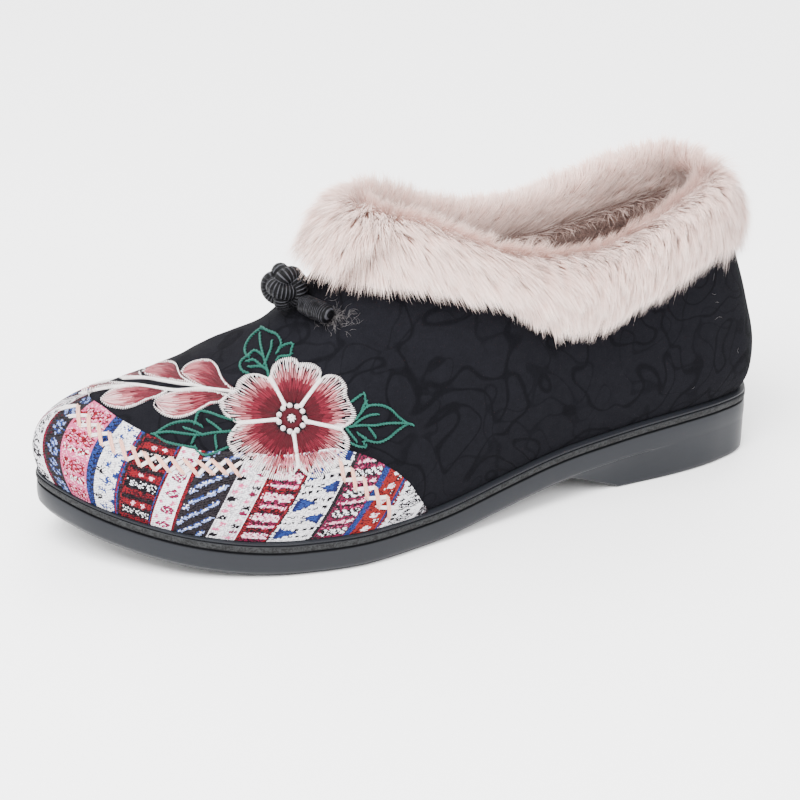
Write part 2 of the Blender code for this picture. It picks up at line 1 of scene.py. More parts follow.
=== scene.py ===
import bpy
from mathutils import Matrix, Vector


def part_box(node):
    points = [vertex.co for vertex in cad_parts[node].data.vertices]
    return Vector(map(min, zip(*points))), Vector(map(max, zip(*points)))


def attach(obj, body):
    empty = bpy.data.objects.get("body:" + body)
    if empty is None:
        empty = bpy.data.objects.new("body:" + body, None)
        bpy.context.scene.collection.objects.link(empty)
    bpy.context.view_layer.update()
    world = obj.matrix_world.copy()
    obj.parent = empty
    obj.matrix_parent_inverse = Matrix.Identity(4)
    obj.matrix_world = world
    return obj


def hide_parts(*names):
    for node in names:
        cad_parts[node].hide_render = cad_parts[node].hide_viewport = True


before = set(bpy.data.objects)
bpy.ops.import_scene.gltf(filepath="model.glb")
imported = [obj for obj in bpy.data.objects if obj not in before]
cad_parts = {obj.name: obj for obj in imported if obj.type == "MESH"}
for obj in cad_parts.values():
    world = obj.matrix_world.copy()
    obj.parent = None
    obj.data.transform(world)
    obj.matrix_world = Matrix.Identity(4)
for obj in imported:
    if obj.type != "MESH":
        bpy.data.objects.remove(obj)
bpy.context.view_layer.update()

import functools
import math
import random

import bmesh
import bpy
import numpy as np
from mathutils import Matrix, Vector
from mathutils.bvhtree import BVHTree
from mathutils.kdtree import KDTree

# Sole
# One moulding of grey foam rubber: tread and low heel, a smooth side, a groove and a grained band with a thin
# lip, on which the cloth is stuck. Stations run from 0 at its back to 1 at its toe, and a share of the way
# round from 0 at the heel's back to 1 at the toe's tip, along the outer side (1) or the inner side (-1).
UP = Vector((0.0, 0.0, 1.0))
GAP = 0.0003
SOLE_LENGTH = 0.250
BALL_WIDTH = 0.091
WAIST_WIDTH = 0.060
HEEL_WIDTH = 0.060
HEEL_LIFT = 0.0110
TOE_SPRING = 0.0130
TOE_SWING = 0.0140
TREAD_THICKNESS = 0.0010
SIDEWALL_HEIGHT = 0.0071
BAND_HEIGHT = 0.0036
BAND_TOP = SIDEWALL_HEIGHT + BAND_HEIGHT
EDGE_ROUND = 0.0007
GROOVE_DEPTH = 0.0007
GROOVE_WIDTH = 0.0005
LIP_WIDTH = 0.0010
HEEL_UNDERCUT = 0.0010
TREAD_INSET = 0.0014
BREAST_FOOT = 0.248
BREAST_TOP = 0.325
SOLE_STATIONS = 150
HEEL_SCOOP = 0.0006
SIDE_STEPS = 400
GIRTH_UV_LENGTH = 10
GIRTH_UV_RISE = 100

# station, the width that it follows, share of it to the outer side, to the inner side
OUTLINE = (
    (0.030, HEEL_WIDTH, 0.318, 0.317),
    (0.080, HEEL_WIDTH, 0.427, 0.425),
    (0.150, HEEL_WIDTH, 0.485, 0.483),
    (0.250, HEEL_WIDTH, 0.513, 0.483),
    (0.350, WAIST_WIDTH, 0.545, 0.442),
    (0.450, WAIST_WIDTH, 0.620, 0.458),
    (0.550, BALL_WIDTH, 0.459, 0.374),
    (0.650, BALL_WIDTH, 0.503, 0.462),
    (0.730, BALL_WIDTH, 0.474, 0.500),
    (0.800, BALL_WIDTH, 0.416, 0.500),
    (0.870, BALL_WIDTH, 0.324, 0.478),
    (0.930, BALL_WIDTH, 0.190, 0.423),
    (0.975, BALL_WIDTH, 0.040, 0.319),
)
# station, share of the heel lift, share of the toe spring
UNDERSIDE = (
    (0.00, 0.93, 0.0),
    (0.15, 1.00, 0.0),
    (0.30, 0.77, 0.0),
    (0.42, 0.42, 0.0),
    (0.52, 0.07, 0.0),
    (0.58, 0.00, 0.0),
    (0.74, 0.00, 0.0),
    (0.82, 0.00, 0.13),
    (0.92, 0.00, 0.52),
    (1.00, 0.00, 1.0),
)


def curve_through(rows, place, column):
    """Value of a table's column at a place, on a smooth curve through the rows."""
    last = len(rows) - 1
    right = 1
    while right < last and rows[right][0] < place:
        right += 1
    left = right - 1
    start, end = rows[left], rows[right]
    before, after = rows[max(left - 1, 0)], rows[min(right + 1, last)]
    span = end[0] - start[0]
    share = min(max((place - start[0]) / span, 0.0), 1.0)
    slope_in = (end[column] - before[column]) / (end[0] - before[0]) * span
    slope_out = (after[column] - start[column]) / (after[0] - start[0]) * span
    square, cube = share * share, share ** 3
    return (
        (2 * cube - 3 * square + 1) * start[column]
        + (cube - 2 * square + share) * slope_in
        + (3 * square - 2 * cube) * end[column]
        + (cube - square) * slope_out
    )


def ease(start, end, value):
    """0 before start, 1 after end, and a smooth step between."""
    share = min(max((value - start) / (end - start), 0.0), 1.0)
    return share * share * (3 - 2 * share)


def outline_corner(row, side):
    share = row[2] if side > 0 else row[3]
    return Vector((row[0] * SOLE_LENGTH, side * row[1] * share))


@functools.lru_cache(maxsize=None)
def side_path(side):
    """One side of the outline from heel to toe: rows of the distance along it, x and y."""
    corners = [Vector((0.0, 0.0))] + [outline_corner(row, side) for row in OUTLINE]
    corners.append(Vector((SOLE_LENGTH, -TOE_SWING)))
    corners = [outline_corner(OUTLINE[0], -side)] + corners + [outline_corner(OUTLINE[-1], -side)]
    rows = []
    distance = 0.0
    for index, corner in enumerate(corners):
        if index:
            distance += (corner - corners[index - 1]).length
        rows.append((distance, corner.x, corner.y))
    start, stop = rows[1][0], rows[-2][0]
    places = [start + (stop - start) * step / SIDE_STEPS for step in range(SIDE_STEPS + 1)]
    points = [Vector((curve_through(rows, place, 1), curve_through(rows, place, 2))) for place in places]
    path = [(0.0, points[0].x, points[0].y)]
    for first, second in zip(points, points[1:]):
        path.append((path[-1][0] + (second - first).length, second.x, second.y))
    return path


def path_tangent(side, index):
    """Direction of travel at a point of the outline, straight across at the heel's back and toe's tip."""
    path = side_path(side)
    if index == 0:
        return Vector((0.0, side))
    if index == len(path) - 1:
        return Vector((0.0, -side))
    before, after = path[index - 1], path[index + 1]
    return Vector((after[1] - before[1], after[2] - before[2])).normalized()


def outline_at(side, value, by_station):
    """Point, outward normal and distance along where a side passes a station, or a share of its length."""
    path = side_path(side)
    column = 1 if by_station else 0
    wanted = value * (SOLE_LENGTH if by_station else path[-1][0])
    index = 1
    while index < len(path) - 1 and path[index][column] < wanted:
        index += 1
    before, after = path[index - 1], path[index]
    share = min(max((wanted - before[column]) / (after[column] - before[column]), 0.0), 1.0)
    point = Vector(before[1:]).lerp(Vector(after[1:]), share)
    tangent = path_tangent(side, index - 1).lerp(path_tangent(side, index), share).normalized()
    along = before[0] + (after[0] - before[0]) * share
    return point, Vector((-tangent.y, tangent.x)) * side, along


def underside(station):
    """Height of the side's lower edge."""
    lift = max(curve_through(UNDERSIDE, station, 1), 0.0) * HEEL_LIFT
    spring = max(curve_through(UNDERSIDE, station, 2), 0.0) * TOE_SPRING
    return TREAD_THICKNESS + lift + spring


def seat_height(station):
    """Height of the sole's top face."""
    return underside(station) + BAND_TOP


def tread_height(station):
    """Height of the tread: on the floor under the heel, up the sloping breast, then along the sole."""
    if station <= BREAST_FOOT:
        return 0.0
    if station >= BREAST_TOP:
        return underside(station) - TREAD_THICKNESS
    return (underside(BREAST_TOP) - TREAD_THICKNESS) * (station - BREAST_FOOT) / (BREAST_TOP - BREAST_FOOT)


def tread_inset(station):
    """How far the tread's edge stands in from the side: little behind the heel, most at its front."""
    front = EDGE_ROUND + HEEL_UNDERCUT
    if station <= BREAST_FOOT:
        return EDGE_ROUND * 0.3 + HEEL_UNDERCUT * (station / BREAST_FOOT) ** 3
    share = min((station - BREAST_FOOT) / (BREAST_TOP - BREAST_FOOT), 1.0)
    return front + (TREAD_INSET - front) * share


def spaced_stations(count, folds=()):
    """Stations from heel to toe, close together at the round ends, with one on each fold."""
    spacing = 0.4 / count
    even = [(1 - math.cos(math.pi * index / count)) / 2 for index in range(count + 1)]
    clear = [station for station in even if all(abs(station - fold) > spacing for fold in folds)]
    return sorted(clear + list(folds))


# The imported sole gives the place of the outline's origin in the part's frame.
outline_points = [row[1:] for side in (1, -1) for row in side_path(side)]
outline_low = [min(point[axis] for point in outline_points) for axis in (0, 1)]
outline_high = [max(point[axis] for point in outline_points) for axis in (0, 1)]
packed_low, packed_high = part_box("outsole")
SHIFT = Vector((0.0, 0.0, 0.0))
for axis in (0, 1):
    SHIFT[axis] = (packed_low[axis] + packed_high[axis] - outline_low[axis] - outline_high[axis]) / 2


def heel_block(station):
    """1 where the heel's block shows under the side, 0 in front of the breast."""
    return 1 - ease(BREAST_FOOT, BREAST_TOP, station)


def ridge_inset(station):
    """Inset of the edge between side and block, which fades out towards the heel's back."""
    return EDGE_ROUND * ease(0.14, 0.26, station)


def block_row(share, inset_more):
    """A profile row on the heel's block, a share of the way up it, hollowed a little near the breast."""
    def inset(station):
        hollow = HEEL_SCOOP * ease(0.10, 0.24, station) * heel_block(station) * math.sin(math.pi * share)
        straight = tread_inset(station) + (ridge_inset(station) - tread_inset(station)) * share
        return straight + hollow + inset_more
    def height(station):
        low = tread_height(station)
        return low + (underside(station) - low) * share
    return inset, height


def side_row(inset, rise):
    """A profile row at a height above the side's lower edge."""
    return (lambda station: inset, lambda station: underside(station) + rise)


def fading_row(share, rise):
    """A profile row on the ridge between side and block, a share of the ridge's inset."""
    return (lambda station: ridge_inset(station) * share, lambda station: underside(station) + rise)


SOLE_PROFILE = (
    block_row(0.0, 0.0006),
    block_row(0.06, 0.0001),
    block_row(0.14, 0.0),
    block_row(0.35, 0.0),
    block_row(0.65, 0.0),
    block_row(0.94, 0.0),
    fading_row(1.0, 0.0),
    fading_row(0.45, EDGE_ROUND * 0.3),
    fading_row(0.1, EDGE_ROUND * 0.75),
    side_row(-0.0001, EDGE_ROUND * 2.0),
    side_row(-0.0002, SIDEWALL_HEIGHT * 0.5),
    side_row(0.0, SIDEWALL_HEIGHT - GROOVE_WIDTH * 1.4),
    side_row(0.0001, SIDEWALL_HEIGHT - GROOVE_WIDTH * 0.9),
    side_row(GROOVE_DEPTH, SIDEWALL_HEIGHT - GROOVE_WIDTH * 0.25),
    side_row(GROOVE_DEPTH, SIDEWALL_HEIGHT + GROOVE_WIDTH * 0.25),
    side_row(0.0, SIDEWALL_HEIGHT + GROOVE_WIDTH * 0.9),
    side_row(-0.0002, SIDEWALL_HEIGHT + BAND_HEIGHT * 0.35),
    side_row(-0.0002, SIDEWALL_HEIGHT + BAND_HEIGHT * 0.55),
    side_row(0.0, BAND_TOP - GROOVE_WIDTH * 2.4),
    side_row(GROOVE_DEPTH * 0.6, BAND_TOP - GROOVE_WIDTH * 2.0),
    side_row(GROOVE_DEPTH * 0.2, BAND_TOP - GROOVE_WIDTH * 1.5),
    side_row(GROOVE_DEPTH * 0.3, BAND_TOP - GROOVE_WIDTH * 0.7),
    side_row(LIP_WIDTH * 0.9, BAND_TOP - GROOVE_WIDTH * 0.15),
    side_row(LIP_WIDTH * 1.6, BAND_TOP),
)


def named_object(name, mesh, sharp_angle):
    """A bmesh as an object of its own, smooth but for its sharp edges."""
    data = bpy.data.meshes.new(name)
    mesh.to_mesh(data)
    mesh.free()
    data.shade_smooth()
    data.set_sharp_from_angle(angle=math.radians(sharp_angle))
    made = bpy.data.objects.new(name, data)
    bpy.context.scene.collection.objects.link(made)
    return made


def build_sole():
    """Rings of the outline, one for each profile row, closed across at the tread and under the upper."""
    stations = spaced_stations(SOLE_STATIONS, (BREAST_FOOT, BREAST_TOP))
    mesh = bmesh.new()
    girth = mesh.loops.layers.uv.new("girth")
    places = {}
    rings = []
    for row, (inset, height) in enumerate(SOLE_PROFILE):
        ring = []
        for side, along in ((1, stations), (-1, stations[-2:0:-1])):
            for station in along:
                flat, normal, distance = outline_at(side, station, True)
                flat = flat - normal * inset(station)
                rise = height(flat.x / SOLE_LENGTH)
                vert = mesh.verts.new(Vector((flat.x, flat.y, rise)) + SHIFT)
                over = rise - underside(flat.x / SOLE_LENGTH)
                places[vert] = (side * distance, over if row > 5 else min(over, 0.0) - 0.0004)
                ring.append(vert)
        rings.append(ring)
    for lower, upper in zip(rings, rings[1:]):
        for index in range(len(lower)):
            after = (index + 1) % len(lower)
            mesh.faces.new((lower[after], lower[index], upper[index], upper[after]))
    last = len(stations) - 1
    for ring in (rings[0], rings[-1]):
        inner = [ring[0]] + [ring[-index] for index in range(1, last)] + [ring[last]]
        for index in range(last):
            corners = (ring[index], ring[index + 1], inner[index + 1], inner[index])
            mesh.faces.new(list(dict.fromkeys(corners)))
    bmesh.ops.recalc_face_normals(mesh, faces=mesh.faces)
    for face in mesh.faces:
        heel_end = [places[loop.vert][0] for loop in face.loops]
        for loop in face.loops:
            along, over = places[loop.vert]
            if max(heel_end) - min(heel_end) > 0.2 and along < 0:
                along += 0.6
            loop[girth].uv = (along * GIRTH_UV_LENGTH + 5, over * GIRTH_UV_RISE)
    return named_object("moulded_sole", mesh, 32)


class Value:
    """A socket of a shader. Sums, products and the like of sockets and numbers add their Math nodes."""

    def __init__(self, finish, socket):
        self.finish = finish
        self.socket = socket

    def maths(self, operation, *values):
        sockets = dict(enumerate(values))
        return self.finish.node("Math", {"operation": operation}, sockets)

    def __add__(self, other):
        return self.maths("ADD", self, other)

    def __sub__(self, other):
        return self.maths("SUBTRACT", self, other)

    def __rsub__(self, other):
        return self.maths("SUBTRACT", other, self)

    def __mul__(self, other):
        return self.maths("MULTIPLY", self, other)

    def __truediv__(self, other):
        return self.maths("DIVIDE", self, other)

    __radd__ = __add__
    __rmul__ = __mul__

    def above(self, limit, soft=0.0):
        """1 where the value is over a limit, through a soft step of that width."""
        if soft == 0.0:
            return self.maths("GREATER_THAN", self, limit)
        settings = {"interpolation_type": "SMOOTHSTEP"}
        return self.finish.node("MapRange", settings, {0: self, 1: limit - soft / 2, 2: limit + soft / 2})

    def wave(self):
        return self.maths("SINE", self)

    def clamped(self):
        return self.maths("MINIMUM", self.maths("MAXIMUM", self, 0.0), 1.0)


class Finish:
    """A material under construction: a Principled shader, and the nodes that feed it."""

    def __init__(self, name, roughness, **constants):
        self.material = bpy.data.materials.new(name)
        self.material.use_nodes = True
        self.tree = self.material.node_tree
        self.shader = self.tree.nodes["Principled BSDF"]
        self.shader.inputs["Roughness"].default_value = roughness
        for socket, value in constants.items():
            self.shader.inputs[socket.replace("_", " ")].default_value = value

    def plug(self, value, socket):
        if isinstance(value, Value):
            self.tree.links.new(value.socket, socket)
        elif hasattr(value, "__len__") and len(value) == 3 and socket.type == "RGBA":
            socket.default_value = (*value, 1.0)
        else:
            socket.default_value = value

    def node(self, kind, settings=None, sockets=None, output=0):
        """Any node: its type, its settings, and the values or links of its sockets."""
        made = self.tree.nodes.new("ShaderNode" + kind)
        for setting, value in (settings or {}).items():
            if setting == "stops":
                ramp = made.color_ramp.elements
                while len(ramp) < len(value):
                    ramp.new(0.5)
                for element, (place, colour) in zip(ramp, value):
                    element.position = place
                    element.color = (*colour, 1.0)
            else:
                setattr(made, setting, value)
        for socket, value in (sockets or {}).items():
            self.plug(value, made.inputs[socket])
        return Value(self, made.outputs[output])

    def place(self, output="Object"):
        return self.node("TexCoord", None, None, output)

    def along_axis(self, axis, uv_map=None):
        """One coordinate of a UV map, or of the place on the object."""
        place = self.node("UVMap", {"uv_map": uv_map}) if uv_map else self.place()
        return self.node("SeparateXYZ", None, {0: place}, axis)

    def noise(self, scale, detail=2.0, rough=0.5, vector=None, twist=0.0):
        sockets = {"Scale": scale, "Detail": detail, "Roughness": rough, "Distortion": twist}
        sockets["Vector"] = vector or self.place()
        return self.node("TexNoise", None, sockets, 0)

    def blend(self, factor, first, second, mode="MIX"):
        """Two colours mixed by a factor."""
        settings = {"data_type": "RGBA", "blend_type": mode}
        return self.node("Mix", settings, {0: factor, 6: first, 7: second}, 2)

    def relief(self, height, distance, strength=1.0):
        """A bump from a height of 0 to 1 that stands for a real depth in metres."""
        bump = self.node("Bump", None, {"Height": height, "Distance": distance, "Strength": strength})
        self.plug(bump, self.shader.inputs["Normal"])

    def feed(self, **links):
        for socket, value in links.items():
            self.plug(value, self.shader.inputs[socket.replace("_", " ")])
        return self.material


SOLE_SIDE = (0.0112, 0.0122, 0.0150)
SOLE_BAND = (0.0050, 0.0050, 0.0054)
SOLE_BAND_FLECK = (0.0200, 0.0208, 0.0218)
# painted shade for the sole's grooves and the tread's hollows
SOLE_PAINTED_SHADE = (0.0015, 0.0015, 0.0020)


def sole_finish():
    """Smooth moulded grey with faint clouding, speckled grain on the band, and painted shade in the grooves
    and the tread's hollows.
    """
    skin = Finish("moulded_rubber", 0.42, Specular_IOR_Level=0.17)
    over = skin.along_axis(1, "girth") / GIRTH_UV_RISE
    band = over.above(SIDEWALL_HEIGHT + 0.0002, 0.0004) * (1 - over.above(BAND_TOP - 0.0013, 0.0004))
    groove_shade = over.above(SIDEWALL_HEIGHT - 0.0006, 0.0004) * (1 - over.above(SIDEWALL_HEIGHT + 0.0003, 0.0004))
    lip_shade = over.above(BAND_TOP - 0.0013, 0.0003) * (1 - over.above(BAND_TOP - 0.0008, 0.0003))
    cloud = skin.noise(35, 4.0, 0.6)
    grain = skin.noise(1500, 3.0, 0.65)
    coarse = skin.noise(520, 2.0, 0.5)
    smooth = skin.blend(cloud, [tone * 0.86 for tone in SOLE_SIDE], [tone * 1.14 for tone in SOLE_SIDE])
    fleck = (grain * 0.7 + coarse * 0.3).above(0.5, 0.16)
    colour = skin.blend(band, smooth, skin.blend(fleck, SOLE_BAND, SOLE_BAND_FLECK))
    # Painted shade: the groove under the band and the one under the lip are coloured dark.
    colour = skin.blend((groove_shade * 0.75 + lip_shade * 0.6).clamped(), colour, SOLE_PAINTED_SHADE)
    down = 0 - skin.node("SeparateXYZ", None, {0: skin.node("NewGeometry", None, None, "Normal")}, 2)
    under = down.above(0.9, 0.1)
    # Painted shade: the tread's zigzag is coloured dark in its hollows and grey on its ridges.
    zigzag = (skin.along_axis(0) * 1100 + (skin.along_axis(1) * 500).wave() * 1.6).wave()
    colour = skin.blend(under, colour, skin.blend(zigzag.above(0.0, 0.5), SOLE_PAINTED_SHADE, SOLE_BAND))
    clouding = (1 - band) * skin.noise(240, 3.0, 0.5) * 0.06
    height = band * grain * 0.9 + clouding + under * zigzag.above(0.0, 0.6)
    skin.relief(height, 0.00035)
    rough = band * 0.3 + 0.34 + cloud * 0.08
    return skin.feed(Base_Color=colour, Roughness=rough)


sole = build_sole()
sole.data.materials.append(sole_finish())
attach(sole, "root")
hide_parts("outsole")

# Insole
# A footbed of board covered with short brown-pink pile, glued on the sole inside the upper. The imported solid
# has its shape and stays; it gets the pile's colour and nap.
PILE_LIGHT = (0.27, 0.185, 0.155)
PILE_DARK = (0.060, 0.034, 0.026)


def pile_finish():
    """Short plush: small tufts of light and dark, matt, with a soft bloom at grazing angles."""
    plush = Finish("lining_pile", 0.95, Specular_IOR_Level=0.1, Sheen_Weight=0.35, Sheen_Roughness=0.5)
    tuft = plush.noise(900, 3.0, 0.7, None, 0.6)
    patch = plush.noise(60, 3.0, 0.55)
    shade = (tuft * 0.75 + patch * 0.45 - 0.1).clamped()
    plush.relief(tuft, 0.0008, 0.8)
    return plush.feed(Base_Color=plush.blend(shade, PILE_DARK, PILE_LIGHT))


lining_pile = pile_finish()
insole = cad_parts["insole"]
insole.data.materials.clear()
insole.data.materials.append(lining_pile)

# Upper
# Black micro-suede over thin padding and a pile lining, cut in one piece, lasted and stuck to the sole's
# band. Its curves are ribs from the sole's edge up to the collar or to the ridge over the instep.
FEATHER_INSET = 0.0022
UPPER_WALL = 0.0026
COLLAR_HALF_WIDTH = 0.0290
COLLAR_HEIGHT = 0.0680
INSTEP_HEIGHT = 0.0750
SIDE_BULGE = 0.0060
SIDE_RISE = 0.0200
COLLAR_DROP = 0.0200
COLLAR_RIBS = 96
FORE_RIBS = 70
RIB_LEVELS = 44
CLOTH_WAVE = 0.00022

# share of the way round, station, share of the half width, of the collar and instep heights
THROAT = 0.65
COLLAR = (
    (0.000, 0.042, 0.00, 1.000, 0.000),
    (0.060, 0.053, 0.38, 1.000, 0.000),
    (0.130, 0.100, 0.68, 0.965, 0.000),
    (0.195, 0.155, 0.86, 0.850, 0.053),
    (0.260, 0.220, 0.96, 0.680, 0.153),
    (0.325, 0.285, 1.00, 0.520, 0.275),
    (0.410, 0.370, 0.98, 0.360, 0.456),
    (0.490, 0.450, 0.90, 0.200, 0.680),
    (0.550, 0.520, 0.72, 0.080, 0.868),
    (0.600, 0.578, 0.42, 0.020, 0.972),
    (THROAT, 0.600, 0.00, 0.000, 1.000),
)
# share of the way round, station, share of the instep height
RIDGE = (
    (THROAT, 0.600, 1.000),
    (0.720, 0.666, 0.785),
    (0.790, 0.724, 0.697),
    (0.860, 0.770, 0.624),
    (0.930, 0.806, 0.571),
    (1.000, 0.830, 0.538),
)
# share of the way round, shares of the side's bulge and rise, share of its width kept level at the top, share
# of the collar's drop, share of the ridge's slope
RIB = (
    (0.00, 2.20, 0.60, 0.00, 1.00, 0.0),
    (0.10, 1.80, 0.65, 0.00, 1.00, 0.0),
    (0.25, 1.20, 0.85, 0.06, 1.00, 0.0),
    (0.40, 1.00, 0.95, 0.15, 1.00, 0.0),
    (0.50, 0.95, 1.05, 0.24, 0.85, 0.1),
    (0.58, 0.90, 1.10, 0.38, 0.50, 0.5),
    (0.65, 0.90, 1.10, 0.49, 0.00, 1.0),
    (0.75, 0.95, 1.10, 0.58, 0.00, 1.0),
    (0.88, 1.10, 1.00, 0.65, 0.00, 1.0),
    (1.00, 1.30, 1.00, 0.69, 0.00, 1.0),
)


def with_mirrored_ends(rows, odd_column):
    """The table with a row beyond each end, where the other side begins, so that the sides join smoothly."""
    rows = list(rows)

    def mirrored(row, about):
        values = [2 * about[0] - row[0], *row[1:]]
        if odd_column is not None:
            values[odd_column] = -values[odd_column]
        return tuple(values)

    return [mirrored(rows[1], rows[0])] + rows + [mirrored(rows[-2], rows[-1])]


COLLAR_ROUND = with_mirrored_ends(COLLAR, 2)
RIB_ROUND = with_mirrored_ends(RIB, None)


def centre_line(station):
    """Sideways place of the ridge, which swings to the inner side towards the toe."""
    bend = min(max((station - 0.45) / 0.55, 0.0), 1.0)
    return -TOE_SWING * bend * bend


@functools.lru_cache(maxsize=None)
def top_point(side, share):
    """Top of a rib: on the collar behind the throat, on the ridge in front of it."""
    if share < THROAT:
        station, half, high, instep = (curve_through(COLLAR_ROUND, share, column) for column in range(1, 5))
        half = half * COLLAR_HALF_WIDTH
        rise = high * COLLAR_HEIGHT + instep * INSTEP_HEIGHT
    else:
        station = curve_through(RIDGE, share, 1)
        half = 0.0
        rise = curve_through(RIDGE, share, 2) * INSTEP_HEIGHT
    place = Vector((station * SOLE_LENGTH, centre_line(station) + side * half, seat_height(station) + rise))
    return place + SHIFT


def ridge_direction(share):
    """Direction of the ridge towards the toe."""
    step = 0.01
    return top_point(1, min(share + step, 1.0)) - top_point(1, max(share - step, THROAT))


@functools.lru_cache(maxsize=None)
def rib_handles(side, share):
    """The four points of a rib's curve, from the sole to the top line."""
    flat, normal, along = outline_at(side, share, False)
    flat = flat - normal * FEATHER_INSET
    outward = Vector((normal.x, normal.y, 0.0))
    foot = Vector((flat.x, flat.y, seat_height(flat.x / SOLE_LENGTH) + GAP)) + SHIFT
    top = top_point(side, share)
    bulge, rise, reach, drop, slope = (curve_through(RIB_ROUND, share, column) for column in range(1, 6))
    ridge = ridge_direction(max(share, THROAT))
    handle = Vector((foot.x - top.x, foot.y - top.y, 0.0)) * reach
    handle.z = handle.x * slope * ridge.z / ridge.x - max(drop, 0.0) * COLLAR_DROP
    return foot, foot + outward * bulge * SIDE_BULGE + UP * rise * SIDE_RISE, top + handle, top


def last_point(side, share, level):
    """A point of the upper's outer face, at a share of the way round and up a rib."""
    foot, low, high, top = rib_handles(side, share)
    rest = 1 - level
    bottom_half = foot * rest ** 3 + low * (3 * rest * rest * level)
    return bottom_half + high * (3 * rest * level * level) + top * level ** 3


def last_normal(side, share, level):
    """Outward normal of the upper's outer face."""
    if share >= THROAT and level >= 1.0:
        ridge = ridge_direction(share)
        return Vector((-ridge.z, 0.0, ridge.x)).normalized()
    step = 0.004
    low, high = max(level - step, 0.0), min(level + step, 1.0)
    ahead = last_point(side, min(share + step, 1.0), level)
    behind = last_point(side, share - step, level) if share > step else last_point(-side, step, level)
    if share > 1.0 - step:
        ahead = last_point(-side, 1.0 - step, level)
    upward = last_point(side, share, high) - last_point(side, share, low)
    return ((ahead - behind).cross(upward) * -side).normalized()


def wall_point(side, share, level, depth):
    """A point that lies a depth under the outer face, or over it if negative, level at the wall's ends."""
    point = last_point(side, share, level)
    normal = last_normal(side, share, level)
    on_edge = level <= 0.0 or (level >= 1.0 and share <= THROAT)
    if on_edge:
        normal = Vector((normal.x, normal.y, 0.0)).normalized()
    point = point - normal * depth
    if level <= 0.0:
        point.z = seat_height((point.x - SHIFT.x) / SOLE_LENGTH) + GAP
    return point


def cloth_swell(point, level):
    """Small hollows and swells of soft cloth over its padding, none at the sole."""
    slow = math.sin(point.x * 210 + point.z * 90) * math.sin(point.z * 160 - point.y * 120 + 1.0)
    quick = math.sin(point.x * 420 - point.z * 310 + 2.0) * math.sin(point.y * 380 + point.z * 200)
    return CLOTH_WAVE * (slow * 0.7 + quick * 0.3) * ease(0.0, 0.15, level)


def collar_shares(count):
    """Shares from the heel to just short of the throat, close together at both."""
    even = [index / count for index in range(count)]
    return [THROAT * (place + (1 - math.cos(math.pi * place)) / 2) / 2 for place in even]


def build_upper():
    """Outer and inner face on a grid of ribs and levels, joined at the collar and along the sole."""
    behind = collar_shares(COLLAR_RIBS)
    shares = behind + [THROAT + (1 - THROAT) * index / FORE_RIBS for index in range(FORE_RIBS + 1)]
    levels = [index / RIB_LEVELS for index in range(RIB_LEVELS + 1)]
    mesh = bmesh.new()
    places = mesh.loops.layers.uv.new("last")
    at = {}
    grids = []
    for depth in (0.0, UPPER_WALL):
        grid = {}
        for side in (1, -1):
            for share in shares:
                if side < 0 and share in (0.0, 1.0):
                    grid[side, share] = grid[1, share]
                    continue
                column = []
                for level in levels:
                    if side < 0 and share >= THROAT and level == 1.0:
                        column.append(grid[1, share][-1])
                        continue
                    point = wall_point(side, share, level, depth)
                    if depth == 0.0:
                        point += last_normal(side, share, level) * cloth_swell(point, level)
                    column.append(mesh.verts.new(point))
                    at[column[-1]] = (side * share, level)
                grid[side, share] = column
        grids.append(grid)
    outer, inner = grids
    for material, grid in enumerate(grids):
        for side in (1, -1):
            for first, second in zip(shares, shares[1:]):
                left, right = grid[side, first], grid[side, second]
                for row in range(RIB_LEVELS):
                    face = mesh.faces.new((left[row], right[row], right[row + 1], left[row + 1]))
                    face.material_index = material
                    for loop in face.loops:
                        share, level = at[loop.vert]
                        loop[places].uv = (side * abs(share), level)
    for side in (1, -1):
        for first, second in zip(shares, shares[1:]):
            for row in (0, -1) if first < THROAT else (0,):
                rim = (outer[side, first], outer[side, second], inner[side, second], inner[side, first])
                mesh.faces.new([column[row] for column in rim])
    bmesh.ops.recalc_face_normals(mesh, faces=mesh.faces)
    return named_object("suede_upper", mesh, 50)


SUEDE_DEEP = (0.0022, 0.0022, 0.0030)
SUEDE_LIGHT = (0.0094, 0.0094, 0.0120)
SUEDE_FIGURE = (0.0006, 0.0006, 0.0009)


def suede_finish():
    """Matt nap with a grey fleck, brushed lighter and darker, and a faint curling figure pressed in."""
    nap = Finish("micro_suede", 0.88, Specular_IOR_Level=0.02, Sheen_Weight=0.01, Sheen_Roughness=0.4)
    fibre = nap.noise(2300, 2.0, 0.7)
    brushed = nap.noise(42, 4.0, 0.6, None, 1.2)
    coarse = nap.noise(430, 2.0, 0.6)
    vine = nap.noise(40, 0.0, 0.0, None, 1.8) - 0.5
    tendril = nap.noise(70, 0.0, 0.0, None, 0.8) - 0.52
    vine = 1 - vine.maths("ABSOLUTE", vine).above(0.026, 0.03)
    tendril = 1 - tendril.maths("ABSOLUTE", tendril).above(0.018, 0.02)
    curl = (vine + tendril * 0.7).clamped()
    tone = (fibre * 0.62 + brushed * 0.34 + coarse * 0.34 - 0.16).clamped()
    colour = nap.blend(tone, SUEDE_DEEP, SUEDE_LIGHT)
    colour = nap.blend(curl * 0.42, colour, SUEDE_FIGURE)
    nap.relief(fibre * 0.6 + coarse * 0.5 - curl * 0.25, 0.00028)
    return nap.feed(Base_Color=colour, Roughness=0.80 + brushed * 0.15)


upper = build_upper()
upper.data.materials.append(suede_finish())
upper.data.materials.append(lining_pile)
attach(upper, "root")
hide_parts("upper")

# Camera
# It stands where the photo's did, about 0.8 m off on the shoe's outer side and in front, looking down. The
# embroidery and the woven bands below are laid by the pixels of the photo that this camera sees them at.
PHOTO_SIZE = 800
CAMERA_AZIMUTH = math.radians(155)
CAMERA_ELEVATION = math.radians(24)
CAMERA_DISTANCE = 0.797
CAMERA_TARGET = SHIFT + Vector((SOLE_LENGTH / 2, 0.0, 0.030))
FOCAL_PIXELS = 2400
CENTRE_RIGHT = 13.0
CENTRE_DOWN = 5.7
SENSOR = 36.0

